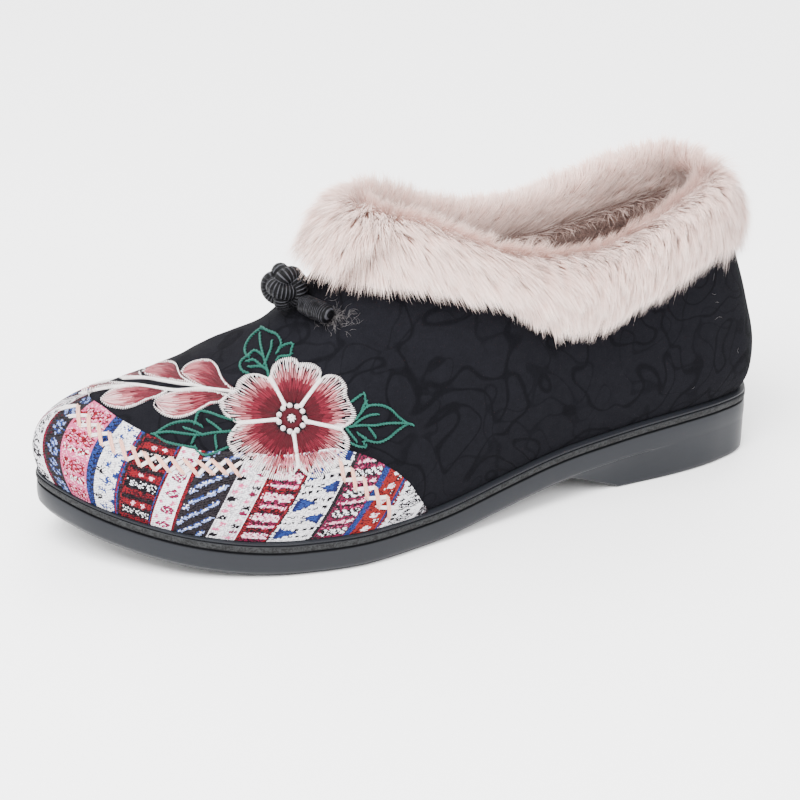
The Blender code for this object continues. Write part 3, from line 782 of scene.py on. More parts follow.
camera_back = Vector((
    math.sin(CAMERA_AZIMUTH) * math.cos(CAMERA_ELEVATION),
    -math.cos(CAMERA_AZIMUTH) * math.cos(CAMERA_ELEVATION),
    math.sin(CAMERA_ELEVATION),
))
camera_right = UP.cross(camera_back).normalized()
camera_up = camera_back.cross(camera_right)
camera_place = CAMERA_TARGET + camera_back * CAMERA_DISTANCE
lens = bpy.data.cameras.new("photo_camera")
lens.sensor_width = SENSOR
lens.lens = FOCAL_PIXELS / PHOTO_SIZE * SENSOR
lens.shift_x = -CENTRE_RIGHT / PHOTO_SIZE
lens.shift_y = CENTRE_DOWN / PHOTO_SIZE
camera = bpy.data.objects.new("photo_camera", lens)
camera.matrix_world = Matrix((
    (camera_right.x, camera_up.x, camera_back.x, camera_place.x),
    (camera_right.y, camera_up.y, camera_back.y, camera_place.y),
    (camera_right.z, camera_up.z, camera_back.z, camera_place.z),
    (0.0, 0.0, 0.0, 1.0),
))
bpy.context.scene.collection.objects.link(camera)
bpy.context.scene.camera = camera

# Toe cap
# A guard of jacquard ribbon wrapped round the toe over the suede, down to the sole. Its bands run up to the
# seam; the photo's pixels give where each band's front edge leaves the sole and meets the seam, and a small
# chart that repeats up the band gives its figure.
CAP_THICKNESS = 0.0009
CAP_ROWS = 72
THREAD_PITCH = 0.00043
MISWEAVE = 0.13
TURN_STEPS = 241
TURN_STEP = 0.0025
SEAM = (
    (0.530, 0.020),
    (0.560, 0.180),
    (0.600, 0.285),
    (0.640, 0.335),
    (0.710, 0.385),
    (0.780, 0.415),
    (0.840, 0.475),
    (0.880, 0.530),
    (0.920, 0.590),
    (0.960, 0.640),
    (1.000, 0.665),
)

# letters of the charts
THREADS = {
    "w": (0.64, 0.63, 0.66),
    "o": (0.36, 0.345, 0.375),
    "p": (0.44, 0.075, 0.170),
    "l": (0.62, 0.29, 0.37),
    "m": (0.125, 0.006, 0.032),
    "r": (0.140, 0.005, 0.009),
    "c": (0.180, 0.011, 0.009),
    "x": (0.038, 0.003, 0.006),
    "k": (0.003, 0.0026, 0.0036),
    "d": (0.013, 0.011, 0.013),
    "n": (0.006, 0.010, 0.055),
    "b": (0.012, 0.030, 0.135),
    "s": (0.19, 0.25, 0.48),
}
SCROLLS = """
    wwwwwwwwwwww wwwwkkkwwwww wwkkdwkkkwww wkkwwkkwdkww wkdkwkwkwkww wkwkkwwkkkww wdkwwkdwkdww
    wwkkwkkkwkww wwwkkkwdkwww wwwwwwwwwwww wowwwwkwwwow wwwwdkkkdwww wwwkwwkwwkww wwkkdwkwdkkw
    wwwkwkkkwkww wwwwkwwwkwww wwowwwwwwwww wwwwwwwowwww
""".split()
DARK_MOTTLE = """
    ddkddbsddkddd dkdsbddsbddkd ddbssddbsddxd dkdbsbdsbbdkd ddssdkddssddd dbdsbddkdsbdk dkdddsbddddxd
    ddkdbssbdkddd dddsbdsbsddkd dkdsdbbdsbddd ddxdssdbddkdd dkdddbsddddkd ddkkddddkkdxd dxddkddkddkdd
    dddkdddddxddd
""".split()
PINK_MARKS = """
    pppppppppppppppp plplplplplplplpp prxrpplrplprxrpp prprrplrrplrplrp pxrplrrpxrrpplrp
    prlprxrprlprrxrp plrrxrplrrrplrpp pprlprrxrplrrrlp prxrplrprxrplxrp plrprrlprrprrlpp
    pprrplxrrplpxrrp plpplrrplpprrplp pppppppppppppppp plplplplplplplpp pppppppppppppppp
    lplplplplplplplp pwppwwpppwwppwpp lprwrrlwxrwlrprp prxwrplwrxwrpxrp lwrrwrxrwlrwrwlp
    plwpxrwrplwprrwp
""".split()
NAVY_LINE = ("nbkb", "bnbd", "nkbb", "dnbn")
WHITE_FLAKES = """
    nbbwwwwwowwwww nbwwwwbwowwwww nwwwbwbwbwwowo bwwwwbbbwwwwww nwbbbwbwbbbwow bwwwwbbbwwwwww
    nwwwbwbwbwwowo bwwwwwbwwwwwww nbwwowowowowow nbbwwwwwwwkkww nnbbwwwwwkkwkk nbbwowowowkkkw
    nbwwwwwwwkkwkk bwwwowowowkkww nwwwwwwwwwwwww bwwwowowbwowow nwwwwwbwbwbwww bwwwowobbbwwow
    nwwwwwbwbwbwww bwwwowowbwowow nwwwwwwwwwwwww
""".split()
BLUE_DARK_LINE = ("dkbr", "kdbr", "dxnr", "kdbx")
RED_BLACK = """
    rxrxrxrxrxrxrxrxrxrk xrxrkxrxrkxrxrkxrxrx rxkxrxkxrxkxrxkxrxrk xrxrxrxrxrxrxrxrxrxr
    kxkkxkkxkkxkkxkkxkkr kkdkkkdkkkdkkkdkkkkr kwkkwkkwkkwkkkwkkwkr kkwkkwkkwkkkwkkwkkkr
    kkkwkkwkkwkwkkwkkkkr kkwkkwkkwkkkwkkwkkkr kwkkwkkwkkwkkkwkkwkr kkdkkkdkkkdkkkdkkkkr
    kxkkxkkxkkxkkxkkxkkr xrxrxrxrxrxrxrxrxrxr rrxrrlrrxrrlrrxrrrxk xrrrlwlrrrlwlrrrxrrx
    rrxrrlrrxrrlrrxrrrxk xrxrxrxrxrxrxrxrxrxr kxkxkxkxkxkxkxkxkxkr dkkdkkdkkdkkdkkdkkkr
    kkdkkdkkdkkdkkdkkdkr xkxkxkxkxkxkxkxkxkxk
""".split()
RED_BLUE_LINE = ("rkb", "rxb", "xrn", "rkb")
WHITE_MAGENTA = """
    wwwwwwwwowowww wwowwmmwwwwwow wwwmmpmmmwwwww wwmmwmmwmmwwow wmmpmwwmpmmwww wwmmwmmwmmwwow
    wwwmmpmmmwwwww wwowwmmwwwwwow wwwwwwwwwowwww wwwlpwwwwwlpww wolpppwwwlpppw wwwlpwwwwwlpow
    wwwwwwwwwwwwww
""".split()
RED_LINE = ("rx", "xr")
DARK_LATTICE = """
    dkddkssddkddkddkdssbdd ddkdssbbddkddkddsswbdk dkdsswbddkddkddsswbddd ddsswbdkddkddkssdbdkdd
    dksswbddkddkdsswbddkdk ddswbdkdkdkdsswbdkdddd dkdbddkddkdssbbddkdkdk ddkdkddkddsswbdkddkddd
    dkddkdkddssdbddkddkssd ddkddkdkssbddkddkdsswd dkddkddsswbdkddkdsswbd ddkdkdsswbddkddkddswbk
    dkddkddsbddkddkddkdbdd
""".split()
RIBBED_WHITE = """
    wowowowowowowowow wowlppwowowowowow wolppplowowokkkdo wowlppwowowkkwkko wowowowowowdkkkko
    wowowowowowowkkow wowowowowowowowow wommmowowowowowow wmmxmmowowowlppow wommmowowowlppplo
    wowmowowowowlppow wowowowowowowowow wkkokkwowowowowow wokkkwowowlpplwow wkkokkwowlppppwow
    wowowowowowlplwow
""".split()
RED_MAGENTA = """
    rxkmmkkxmmkkmmkxmmrkr xrmkkmmkkmmkkmmkkmxrx rxkmmxkmmkkmmkkmmkrkr xrwlwmlwlmwlwmlwlmxrx
    rxlwlwlwlwlwlwlwlwrkr xrmlwlmlwlmlwlmlwlxrx rxlmlwlmlwlmlwlmlwrkr xrwlmlwlmlwlmlwlmlxrx
    rxmwlwmwlwmwlwmwlwrkr xrkmmkkmmkkmmkkmmkxrx rxxkkrxkkrxkkrxkkrrkr xrkrxkkrxkkrxkkrxkxrx
    rxrkkrrkkrrkkrrkkrrkr xrkkrkkkrkkkrkkkrkxrx rxplwpplwpplwpplwprkr xrlwplwwplwwplwwplxrx
    rxppxppxppxppxppxprkr
""".split()
WHITE_TRIANGLES = """
    dwwwwwwwwwwwwwwwwwwwwwd kwowowowowowowowowowowk dwwwwwwwwwwwwwwwwwwwnwd kwowowowowowowowownnnwk
    dwwkkwwkkwwkkwwwnnbnnwd kwokkowkkowkkownnbbnnwk dwwwwwwwwwwwwnnbbbnnnwd kwowowowowownnbbbbbnnwk
    dwwwwwwwwwnnnbbnbbnnnwd kwowowowownnbbbbnbbnnwk dwwwwwwwwwwnnbbbbnnnnwd kwkkowkkowkkownnbbbnnwk
    dwkkwwkkwwkkwwwnnnbnnwd kwowowowowowowowownnnwk dwwwwwwwwwwwwwwwwwwwnwd kwowowowowowowowowowowk
    dwnwwwwwwwwwwwwwwwwwwwd kwnnnwowowowowowowowowk dwnnnnnwwwwkkwwkkwwkkwd kwnnbbnnowokkowkkowkkwk
    dwnnbbbbnnwwwwwwwwwwwwd kwnnbbnbbnnnowowowowowk dwnnnbbbbnnwwwwwwwwwwwd kwnnbbbnnowokkowkkowkwk
    dwnnnbnwwwwkkwwkkwwkkwd kwnnnwowowowowowowowowk
""".split()
GREY_LINE = ("dkd", "kdk")
MAGENTA_MOTTLE = """
    mdmmdmmdmmdmmdmdkdm dmdmmdkdmdmmdmmdmdm mkdmdmmdmmdkdmdmmdd dwwkdwwkdwwkdwwkmdm mdwwkdwwkdwwkdwwkdm
    dmkwwdkwwdkwwdkwwmd mwdkwwdkwwdkwwdkwdm dwwkdwwkdwwkdwwkdmd mdwwkmwwkdwwkmwwkdm dmkdmmkdmmkdmmkdmmd
    mpmpdmpmpdmpmpdmpdm dmdmmdmdmmdmdmmdmmd mkkmkkdmkkmkkdmkkdm dmkkmkkdmkkmkkdmkmd mllwlmllwlmllwlmldm
    dlwllmlwllmlwllmlmd mmllmmmllmmmllmmmdm
""".split()
BLUE_LINE = ("bnb", "nbb", "bbn")
ORANGE_DIAMONDS = """
    ccxcccxcccxccb cxcccwwccccxcb ccccwlwwccxccn cxcwwclwwcccxb ccccwllwccxccb cxccccwwccccxn
    ccxcccxcccxccb cxccxcccxcccxb cckwkccccccccn cxkkkccxccxccb cckwkccccccxcb ccccccxccxcccn
""".split()
WHITE_GREY = """
    wwwwwwwwwwwwwwwwr wowwdkkwwdkwwowwx wwwdkwwkdkwkwwwwr wwdkwdkkwwkdkwwwx wokwdkwdkkwwkwowr
    wwdkkwkkwdkkdwwwx wwwkdkwwkdwkkwwwr wowwwkkdkwwdwwowx wwwwwwwwwwwwwwwwr wwowwwkkwwwwkwwwx
    wwwwwkddkwwkdkwwr wwwwwwkkwwwwkwwwx
""".split()
DARK_END = ("dkodk", "kdkdo", "dxokd", "kdwdk")
RED_EDGE = ("rbrlr", "rblrr", "rnrrl", "rbrlr")

# name, pixel where the band's front edge leaves the sole, pixel where it meets the seam, chart
BANDS = (
    ("edging", (36, 456), (66, 396), RED_EDGE),
    ("scrolls", (38.6, 466.8), (72, 394.5), SCROLLS),
    ("maroon", (57, 486), (78, 397), ("xr", "mx")),
    ("mottle", (59.5, 488), (80.5, 398.5), DARK_MOTTLE),
    ("pink", (73, 498), (93.7, 405.7), PINK_MARKS),
    ("navy", (91.6, 504.7), (114, 422), NAVY_LINE),
    ("flakes", (98, 507.7), (121.3, 427.2), WHITE_FLAKES),
    ("dark_blue", (116, 515.9), (141, 434.3), BLUE_DARK_LINE),
    ("red_black", (121, 517.8), (146.3, 437.4), RED_BLACK),
    ("red_blue", (148, 526), (179, 446), RED_BLUE_LINE),
    ("magenta", (151.7, 527), (184, 448), WHITE_MAGENTA),
    ("red", (170, 533), (201.4, 455), RED_LINE),
    ("lattice", (174, 533), (206, 455.8), DARK_LATTICE),
    ("ribbed", (204.5, 539), (248, 458), RIBBED_WHITE),
    ("red_magenta", (232.6, 542.3), (277, 455), RED_MAGENTA),
    ("triangles", (265, 545.8), (317, 451), WHITE_TRIANGLES),
    ("ridge_highlight", (307, 542.3), (358.2, 448.2), GREY_LINE),
    ("magenta_mottle", (310, 543), (360.3, 449), MAGENTA_MOTTLE),
    ("blue", (343.5, 540.8), (386.3, 463), BLUE_LINE),
    ("orange", (347, 538.7), (388.4, 464.4), ORANGE_DIAMONDS),
    ("second_blue", (373, 532.4), (403, 473.5), BLUE_LINE),
    ("white_grey", (375.7, 531.7), (406, 476.3), WHITE_GREY),
    ("end", (414, 521), (425, 500), DARK_END),
)


def seen_at(point):
    """The photo's pixel at which the camera sees a point."""
    ray = point - camera_place
    depth = -ray.dot(camera_back)
    right = PHOTO_SIZE / 2 + CENTRE_RIGHT + FOCAL_PIXELS * ray.dot(camera_right) / depth
    down = PHOTO_SIZE / 2 + CENTRE_DOWN - FOCAL_PIXELS * ray.dot(camera_up) / depth
    return Vector((right, down))


def round_toe(turn):
    """Side and share of a place that runs on past the toe's tip, at 1, down the inner side."""
    return (1, turn) if turn <= 1.0 else (-1, 2.0 - turn)


def seam_level(turn):
    return curve_through(SEAM, round_toe(turn)[1], 1)


def nearest_turn(pixel, at_seam):
    """The place round the toe whose foot, or seam, the camera sees nearest to a pixel."""
    best = None
    for step in range(TURN_STEPS):
        turn = SEAM[0][0] + step * TURN_STEP
        side, share = round_toe(turn)
        seen = seen_at(last_point(side, share, seam_level(turn) if at_seam else 0.0))
        off = (seen - Vector(pixel)).length
        if best is None or off < best[0]:
            best = (off, turn)
    return best[1]


def band_edges():
    """Edges of all the bands as (foot, seam, chart), from the outer corner round the toe to the inner one."""
    outer = []
    for name, foot, seam, chart in BANDS:
        outer.append([nearest_turn(foot, False), nearest_turn(seam, True), chart])
    tip = outer[0]
    first, last = SEAM[0][0], 2.0 - SEAM[0][0]
    edges = [(first, first, outer[-1][2])]
    for (foot, seam, chart), before in zip(reversed(outer[1:]), reversed(outer[:-1])):
        edges.append((foot, seam, before[2]))
    edges.append((tip[0], tip[1], outer[1][2]))
    for (foot, seam, chart), after in zip(outer[1:], outer[2:] + [None]):
        mirrored = (2 * tip[0] - foot, 2 * tip[1] - seam)
        if mirrored[0] > last - 0.01 or mirrored[1] > last - 0.01:
            break
        edges.append((*mirrored, chart))
    edges.append((last, last, None))
    return edges


def cap_columns():
    """Columns of the weave: foot, seam, the band's chart and the share of the way across it."""
    columns = []
    edges = band_edges()
    for (foot, seam, chart), following in zip(edges, edges[1:]):
        next_foot, next_seam = following[:2]
        span = abs((next_foot + next_seam) / 2 - (foot + seam) / 2) * side_path(1)[-1][0]
        count = max(round(span / THREAD_PITCH), 1)
        for index in range(count):
            way = index / count
            low, high = foot + (next_foot - foot) * way, seam + (next_seam - seam) * way
            columns.append((low, high, chart, (index + 0.5) / count))
    columns.append((edges[-1][0], edges[-1][1], None, 0.0))
    return columns


def build_cap():
    """Outer and inner face of the ribbon, one face to each crossing of threads, coloured by its chart."""
    dice = random.Random(3)
    columns = cap_columns()
    mesh = bmesh.new()
    cells = mesh.loops.layers.uv.new("cells")
    weave = mesh.loops.layers.float_color.new("weave")
    outer, inner, walks = [], [], []
    for foot, seam, chart, across in columns:
        top_level = seam_level(seam)
        run, under, walk = [], [], [0.0]
        for row in range(CAP_ROWS + 1):
            way = row / CAP_ROWS
            side, share = round_toe(foot + (seam - foot) * way)
            level = top_level * way
            point = wall_point(side, share, level, 0.0)
            normal = last_normal(side, share, level)
            if row == 0:
                normal = Vector((normal.x, normal.y, 0.0)).normalized()
            run.append(mesh.verts.new(point + normal * (GAP + CAP_THICKNESS)))
            under.append(mesh.verts.new(point + normal * GAP))
            if row:
                walk.append(walk[-1] + (run[-1].co - run[-2].co).length)
        outer.append(run)
        inner.append(under)
        walks.append(walk)
    for index in range(len(columns) - 1):
        chart, across = columns[index][2:]
        left, right_run = outer[index], outer[index + 1]
        low, low_right = inner[index], inner[index + 1]
        for row in range(CAP_ROWS):
            face = mesh.faces.new((left[row], right_run[row], right_run[row + 1], left[row + 1]))
            walk = (walks[index][row] + walks[index][row + 1]) / 2
            line = chart[(int(walk / THREAD_PITCH) + (dice.random() < MISWEAVE)) % len(chart)]
            letter = int(across * len(line)) + (dice.random() < MISWEAVE) - (dice.random() < MISWEAVE)
            thread = THREADS[line[min(max(letter, 0), len(line) - 1)]]
            tone = dice.uniform(0.86, 1.12)
            for loop, right, up in zip(face.loops, (0, 1, 1, 0), (0, 0, 1, 1)):
                loop[weave] = (*[min(channel * tone, 0.95) for channel in thread], 1.0)
                loop[cells].uv = (index + right, walks[index + right][row + up] / THREAD_PITCH)
            mesh.faces.new((low[row], low[row + 1], low_right[row + 1], low_right[row]))
    for left, low, right_run, low_right in zip(outer, inner, outer[1:], inner[1:]):
        for row in (0, CAP_ROWS):
            mesh.faces.new((left[row], low[row], low_right[row], right_run[row]))
    for end, low in ((outer[0], inner[0]), (outer[-1], inner[-1])):
        for row in range(CAP_ROWS):
            mesh.faces.new((end[row], end[row + 1], low[row + 1], low[row]))
    bmesh.ops.recalc_face_normals(mesh, faces=mesh.faces)
    return named_object("woven_cap", mesh, 50)


def ribbon_finish():
    """Jacquard: each face of the mesh is one crossing, rounded by relief, with painted shade between the
    threads.
    """
    ribbon = Finish("jacquard_ribbon", 0.72, Specular_IOR_Level=0.05)
    across = ribbon.along_axis(0, "cells")
    along = ribbon.along_axis(1, "cells")
    rib = (across * (2 * math.pi)).wave() * 0.5 + 0.5
    pick = (along * math.pi + across * (0.5 * math.pi)).wave() * 0.5 + 0.5
    thread = rib * 0.45 + pick * 0.55
    fuzz = ribbon.noise(2600, 2.0, 0.6)
    shade = ribbon.node("VertexColor", {"layer_name": "weave"})
    # Painted shade: the crossing's colour is darkened between the threads.
    between_thread_shade = ribbon.blend(0.6, shade, (0.03, 0.025, 0.03))
    colour = ribbon.blend((thread * 0.8 + fuzz * 0.5).above(0.42, 0.5), between_thread_shade, shade)
    ribbon.relief(thread * 0.8 + fuzz * 0.3, 0.00022)
    return ribbon.feed(Base_Color=colour, Roughness=0.62 + fuzz * 0.2)


cap = build_cap()
cap.data.materials.append(ribbon_finish())
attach(cap, "root")
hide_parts("toe_cap")

# Embroidery
# Flower, leaves and spray are worked straight through the upper in thick polyester thread: long and short
# satin stitches in three tones for the petals, rope stitch for the leaves, knots round the flower's middle.
# Every stitch is a short thread laid on the cloth, its place given by the photo's pixels.
FLOWER_CENTRE = (291.6, 418.4)
RING_RADIUS = 13.0
RING_KNOTS = 11
DEEP_ROSE = (0.062, 0.0024, 0.0075)
ROSE = (0.180, 0.0115, 0.0260)
PINK = (0.66, 0.24, 0.26)
PALE = (0.92, 0.86, 0.85)
TEAL = (0.014, 0.105, 0.078)
PEACH = (0.86, 0.47, 0.36)
# widths of the threads, in metres
RIM_THREAD = 0.00044
RAY_THREAD = 0.0006
STAR_THREAD = 0.0007
KNOT_THREAD = 0.00075
ROPE_THREAD = 0.00066
SPRAY_THREAD = 0.00040
STEM_THREAD = 0.00072
# threads laid beside each other in the flower's red rays and its white star, and the longest jump of one
RED_RAYS = 34
STAR_RAYS = 8
LONGEST_JUMP = 0.006
# photo pixels along each petal's rim, then the spray's petals, the stems and the leaves
PETALS = (
    (
        (269.8, 376.3), (272.6, 366.5), (278.9, 360.2), (288.8, 357.4), (296.5, 359.5), (298.6, 363),
        (307, 363), (315.4, 365.1), (321, 370.7), (320.3, 379.1),
    ),
    (
        (321, 379.1), (328, 374.9), (339.3, 377), (346.3, 386.1), (346.3, 394.5), (349.8, 401.6),
        (355.4, 412.8), (353.3, 421.2), (342.1, 428.9),
    ),
    (
        (342.1, 428.9), (348.4, 438), (349.1, 446.5), (344.9, 456.3), (337.9, 464.7), (326.6, 473.1),
        (315.4, 477.3), (306.3, 474.5), (298.6, 467.5),
    ),
    (
        (298.6, 467.5), (290.2, 477.3), (280.3, 480.1), (267.7, 477.3), (256.5, 470.3), (245.3, 460.5),
        (232.6, 452.1), (227.7, 442.3), (230.5, 432.4), (237.5, 424),
    ),
    (
        (237.5, 423.3), (227, 417), (221.4, 409.3), (220, 401.6), (226.3, 395.2), (234.7, 389.6),
        (238.2, 381.2), (246.7, 374.9), (257.9, 374.2), (269.1, 378.4),
    ),
)
# each spray petal as its two edges, from the base by the stem to the tip, and how far its tip turns white
SPRAY = (
    (
        ((128.1, 385), (122.7, 382.8), (107.5, 382.3), (91.3, 385.5), (81.5, 391.5)),
        ((128, 385.5), (110.8, 386), (96.7, 388), (88, 390), (81.5, 392)),
        0.15,
    ),
    (
        (
            (167.2, 391), (159.6, 388.8), (150.9, 386.6), (140.1, 385.5), (129.2, 386.1), (118.4, 387.7),
            (109.7, 391), (104.3, 395.3), (100.5, 399.1),
        ),
        (
            (166.1, 392), (156.3, 397.5), (149.8, 399.1), (141.1, 402.9), (133.5, 406.1), (124.9, 408.3),
            (116.2, 407.8), (107.5, 405.6), (102.1, 401.8), (100.5, 399.1),
        ),
        0.62,
    ),
    (
        (
            (226.8, 394.2), (216, 392), (205.1, 390.4), (194.3, 390.4), (181.3, 391), (170.4, 393.1),
            (160.7, 396.4), (155.2, 400.2),
        ),
        (
            (226.8, 396.4), (220.3, 401.8), (210.5, 404), (201.9, 408.3), (192.1, 413.7), (182.3, 417),
            (172.6, 417.5), (163.9, 414.8), (157.4, 410.5), (153.6, 405.6), (155.2, 400.2),
        ),
        0.62,
    ),
    (
        ((141.7, 377.4), (140, 372.5), (136.8, 369.3), (127, 372.5), (117.8, 376.3)),
        ((141.7, 377.4), (134, 377.2), (126, 377), (117.8, 376.9)),
        0.3,
    ),
    (
        (
            (194.3, 384.5), (182.3, 376.9), (179.1, 372.5), (177.5, 367.1), (174.7, 362.8), (168.2, 361.1),
            (159.6, 362.8), (150.9, 365.5), (144.4, 368.2), (142.2, 372.5),
        ),
        ((194.3, 384.5), (182.3, 381.7), (172.6, 380.7), (161.7, 379), (150.9, 375.8), (144.4, 373.6)),
        0.22,
    ),
    (
        (
            (235.5, 388.8), (230, 386.6), (223.5, 380.1), (219.7, 372.5), (217, 366), (212.7, 361.7),
            (206.2, 359.5), (197.5, 360.6), (189.9, 363.3), (184.5, 367.1), (180.7, 372.5),
        ),
        (
            (232.2, 392), (224.6, 391), (213.8, 389.9), (202.9, 387.2), (194.3, 382.8), (187.8, 377.9),
            (181.8, 373.6),
        ),
        0.22,
    ),
)
STEMS = (
    ((127, 384.5), (140, 385.5), (162, 388.8), (178, 390.4), (205, 388.8), (232, 391.5)),
    ((121.6, 378.5), (144.4, 378), (161.7, 380.7), (178, 383.4), (194.3, 385.5), (206, 389)),
    ((81.5, 394), (96.7, 390), (110.8, 387.5), (127, 386)),
)
LEAVES = (
    ((268.4, 375.6), (266.3, 366.5), (263.5, 356.7), (260.7, 344), (260, 334.2)),
    ((262, 328), (253.7, 334.2), (248.1, 341.2), (245.3, 348.2), (246, 353.9), (248.1, 356)),
    ((248.1, 356), (253.7, 351), (258.6, 352.4), (262.1, 355.3)),
    ((262, 328), (269.1, 331.4), (276.1, 334.2), (280.3, 339.8), (281, 345.4), (277.5, 352.4)),
    ((271.9, 341.9), (271.2, 348.2), (268.4, 355.3), (264.9, 363.7)),
    (
        (280.3, 347.5), (285.9, 344.7), (293, 344), (291.6, 349.6), (290.2, 355.3), (280.3, 356.7),
        (277.5, 359.5),
    ),
    ((248.1, 356), (242.4, 360.2), (240.3, 365.1), (242.4, 370.7), (248.1, 373.5)),
    ((247.4, 361.6), (253.7, 360.2), (262.1, 366.5), (267.7, 370.7)),
    ((249.5, 367.2), (259.3, 366.5), (266.3, 368.6)),
    ((349.1, 426.8), (360.3, 425.4), (374.3, 425.4), (388.4, 423.3), (405.2, 423.3), (412.2, 424.7)),
    (
        (406.6, 423.3), (398.2, 417), (391.2, 410), (382.8, 405.8), (372.9, 405.1), (365.9, 407.2),
        (361, 412.8), (356, 419),
    ),
    ((367.3, 405.8), (365.2, 400.2), (363.8, 393.8), (357.5, 397.3), (351.9, 401.6)),
    ((361, 412.8), (363, 407), (365.9, 401.6)),
    ((351.9, 426.8), (360.3, 419.8), (368.7, 415.6), (377.2, 414.2)),
    ((406.6, 424), (396.8, 431), (388.4, 438), (378.6, 442.3), (368.7, 440.8), (361.7, 436.6)),
    ((358.2, 433.8), (365.9, 439.4), (363.1, 442.3), (365.9, 446.5), (358.9, 446.5), (351.9, 443.7)),
    ((368.7, 428.2), (372.2, 432.4), (375, 436.6)),
    ((346.3, 428.2), (350.5, 433.8), (356.1, 440.8)),
    ((152.5, 434.3), (167.8, 432), (183.1, 433.6), (198.4, 435.1), (213.7, 432.8), (230.5, 431.3)),
    ((155.5, 434.3), (164.7, 427.5), (175.4, 422.9), (187.7, 421.3), (195.3, 422.9), (201.4, 425.9)),
    ((195.3, 422.9), (196.8, 416.7), (199.9, 411.4), (210.6, 412.9), (221.3, 416.7), (235.1, 420.6)),
    ((207.6, 420.6), (213.7, 424.4), (221.3, 430.5)),
    ((155.5, 435.1), (164.7, 441.2), (175.4, 444.3), (187.7, 446.6), (195.3, 447.4)),
    ((195.3, 447.4), (198.4, 451.9), (206, 455), (216.7, 451.9), (227.5, 447.4)),
    ((195.3, 436.6), (193.5, 439.5), (192.3, 442.8)),
    ((215.2, 436.6), (215.8, 442), (216.7, 447.4)),
    ((184.6, 428.2), (192.3, 430.5), (201.4, 434.3)),
)

cloth_points = []
cloth_faces = []
for worn in (upper, cap):
    start = len(cloth_points)
    cloth_points += [vertex.co.copy() for vertex in worn.data.vertices]
    cloth_faces += [[start + index for index in face.vertices] for face in worn.data.polygons]
cloth_tree = BVHTree.FromPolygons(cloth_points, cloth_faces)


def on_cloth(pixel):
    """Where the ray of a photo's pixel meets the cloth, with the cloth's outward normal, or None."""
    right = (pixel[0] - PHOTO_SIZE / 2 - CENTRE_RIGHT) / FOCAL_PIXELS
    down = (pixel[1] - PHOTO_SIZE / 2 - CENTRE_DOWN) / FOCAL_PIXELS
    ray = (camera_right * right - camera_up * down - camera_back).normalized()
    spot, normal = cloth_tree.ray_cast(camera_place, ray)[:2]
    if spot is None:
        return None
    return spot, normal if normal.dot(ray) < 0 else -normal


def smooth_line(pixels, step):
    """Points a pixel step apart along a rounded line through the pixels."""
    corners = [Vector(pixel) for pixel in pixels]
    corners = [corners[0] * 2 - corners[1]] + corners + [corners[-1] * 2 - corners[-2]]
    dense = []
    for before, start, end, after in zip(corners, corners[1:], corners[2:], corners[3:]):
        for index in range(12):
            way = index / 12
            bend = (end - before) * way + (before * 2 - start * 5 + end * 4 - after) * way ** 2
            dense.append(start + (bend + (start * 3 - end * 3 + after - before) * way ** 3) / 2)
    dense.append(corners[-2])
    walk = [0.0]
    for start, end in zip(dense, dense[1:]):
        walk.append(walk[-1] + (end - start).length)
    count = max(round(walk[-1] / step), 1)
    line = []
    spot = 0
    for index in range(count + 1):
        goal = walk[-1] * index / count
        while spot < len(dense) - 2 and walk[spot + 1] < goal:
            spot += 1
        way = (goal - walk[spot]) / max(walk[spot + 1] - walk[spot], 1e-9)
        line.append(dense[spot].lerp(dense[spot + 1], min(way, 1.0)))
    return line


def along_line(line, way):
    """The point at a share of a line of points evenly spaced."""
    spot = min(max(way, 0.0), 1.0) * (len(line) - 1)
    index = min(int(spot), len(line) - 2)
    return line[index].lerp(line[index + 1], spot - index)


def new_stitches():
    mesh = bmesh.new()
    return mesh, mesh.loops.layers.float_color.new("tone"), mesh.loops.layers.uv.new("thread")


def lay_thread(cloth_work, pixels, width, colour, rise=0.35, rings=5, corners=4):
    """One stitch along some pixels: a round thread that leaves the cloth, lies on it and goes back in."""
    mesh, tone, thread = cloth_work
    line = smooth_line(pixels, 1.0) if len(pixels) > 2 else [Vector(pixel) for pixel in pixels]
    spots = []
    for index in range(rings):
        met = on_cloth(along_line(line, index / (rings - 1)))
        if met is None:
            return
        spots.append(met)
    if any((near[0] - far[0]).length > LONGEST_JUMP for near, far in zip(spots, spots[1:])):
        return
    tube = []
    walk = [0.0]
    for index, (spot, normal) in enumerate(spots):
        before = spots[max(index - 1, 0)][0]
        after = spots[min(index + 1, rings - 1)][0]
        along = (after - before).normalized()
        across = along.cross(normal).normalized()
        way = index / (rings - 1)
        arch = math.sin(math.pi * way)
        middle = spot + normal * (width * (0.9 * rise * arch ** 0.6 + 0.30 * arch ** 0.3 - 0.30))
        thick = width / 2 * (0.55 + 0.45 * arch ** 0.5)
        ring = []
        for corner in range(corners):
            turn = 2 * math.pi * (corner + 0.5) / corners
            ring.append(mesh.verts.new(
                middle + across * (math.cos(turn) * thick * 1.1) + normal * (math.sin(turn) * thick)
            ))
        tube.append(ring)
        if index:
            walk.append(walk[-1] + (spot - spots[index - 1][0]).length)
    faces = []
    for index, (ring, following) in enumerate(zip(tube, tube[1:])):
        for corner in range(corners):
            other = (corner + 1) % corners
            face = mesh.faces.new((ring[corner], ring[other], following[other], following[corner]))
            for loop, turn, far in zip(face.loops, (0, 1, 1, 0), (0, 0, 1, 1)):
                loop[thread].uv = ((corner + turn) / corners, walk[index + far] * 1000)
            faces.append(face)
    faces.append(mesh.faces.new(list(reversed(tube[0]))))
    faces.append(mesh.faces.new(tube[-1]))
    for face in faces:
        face.smooth = True
        for loop in face.loops:
            loop[tone] = (*colour, 1.0)


def varied(colour, dice, amount=0.12):
    shade = 1.0 + dice.uniform(-amount, amount)
    return tuple(min(channel * shade, 0.95) for channel in colour)


def mixed(first, second, way):
    return tuple(one + (other - one) * way for one, other in zip(first, second))


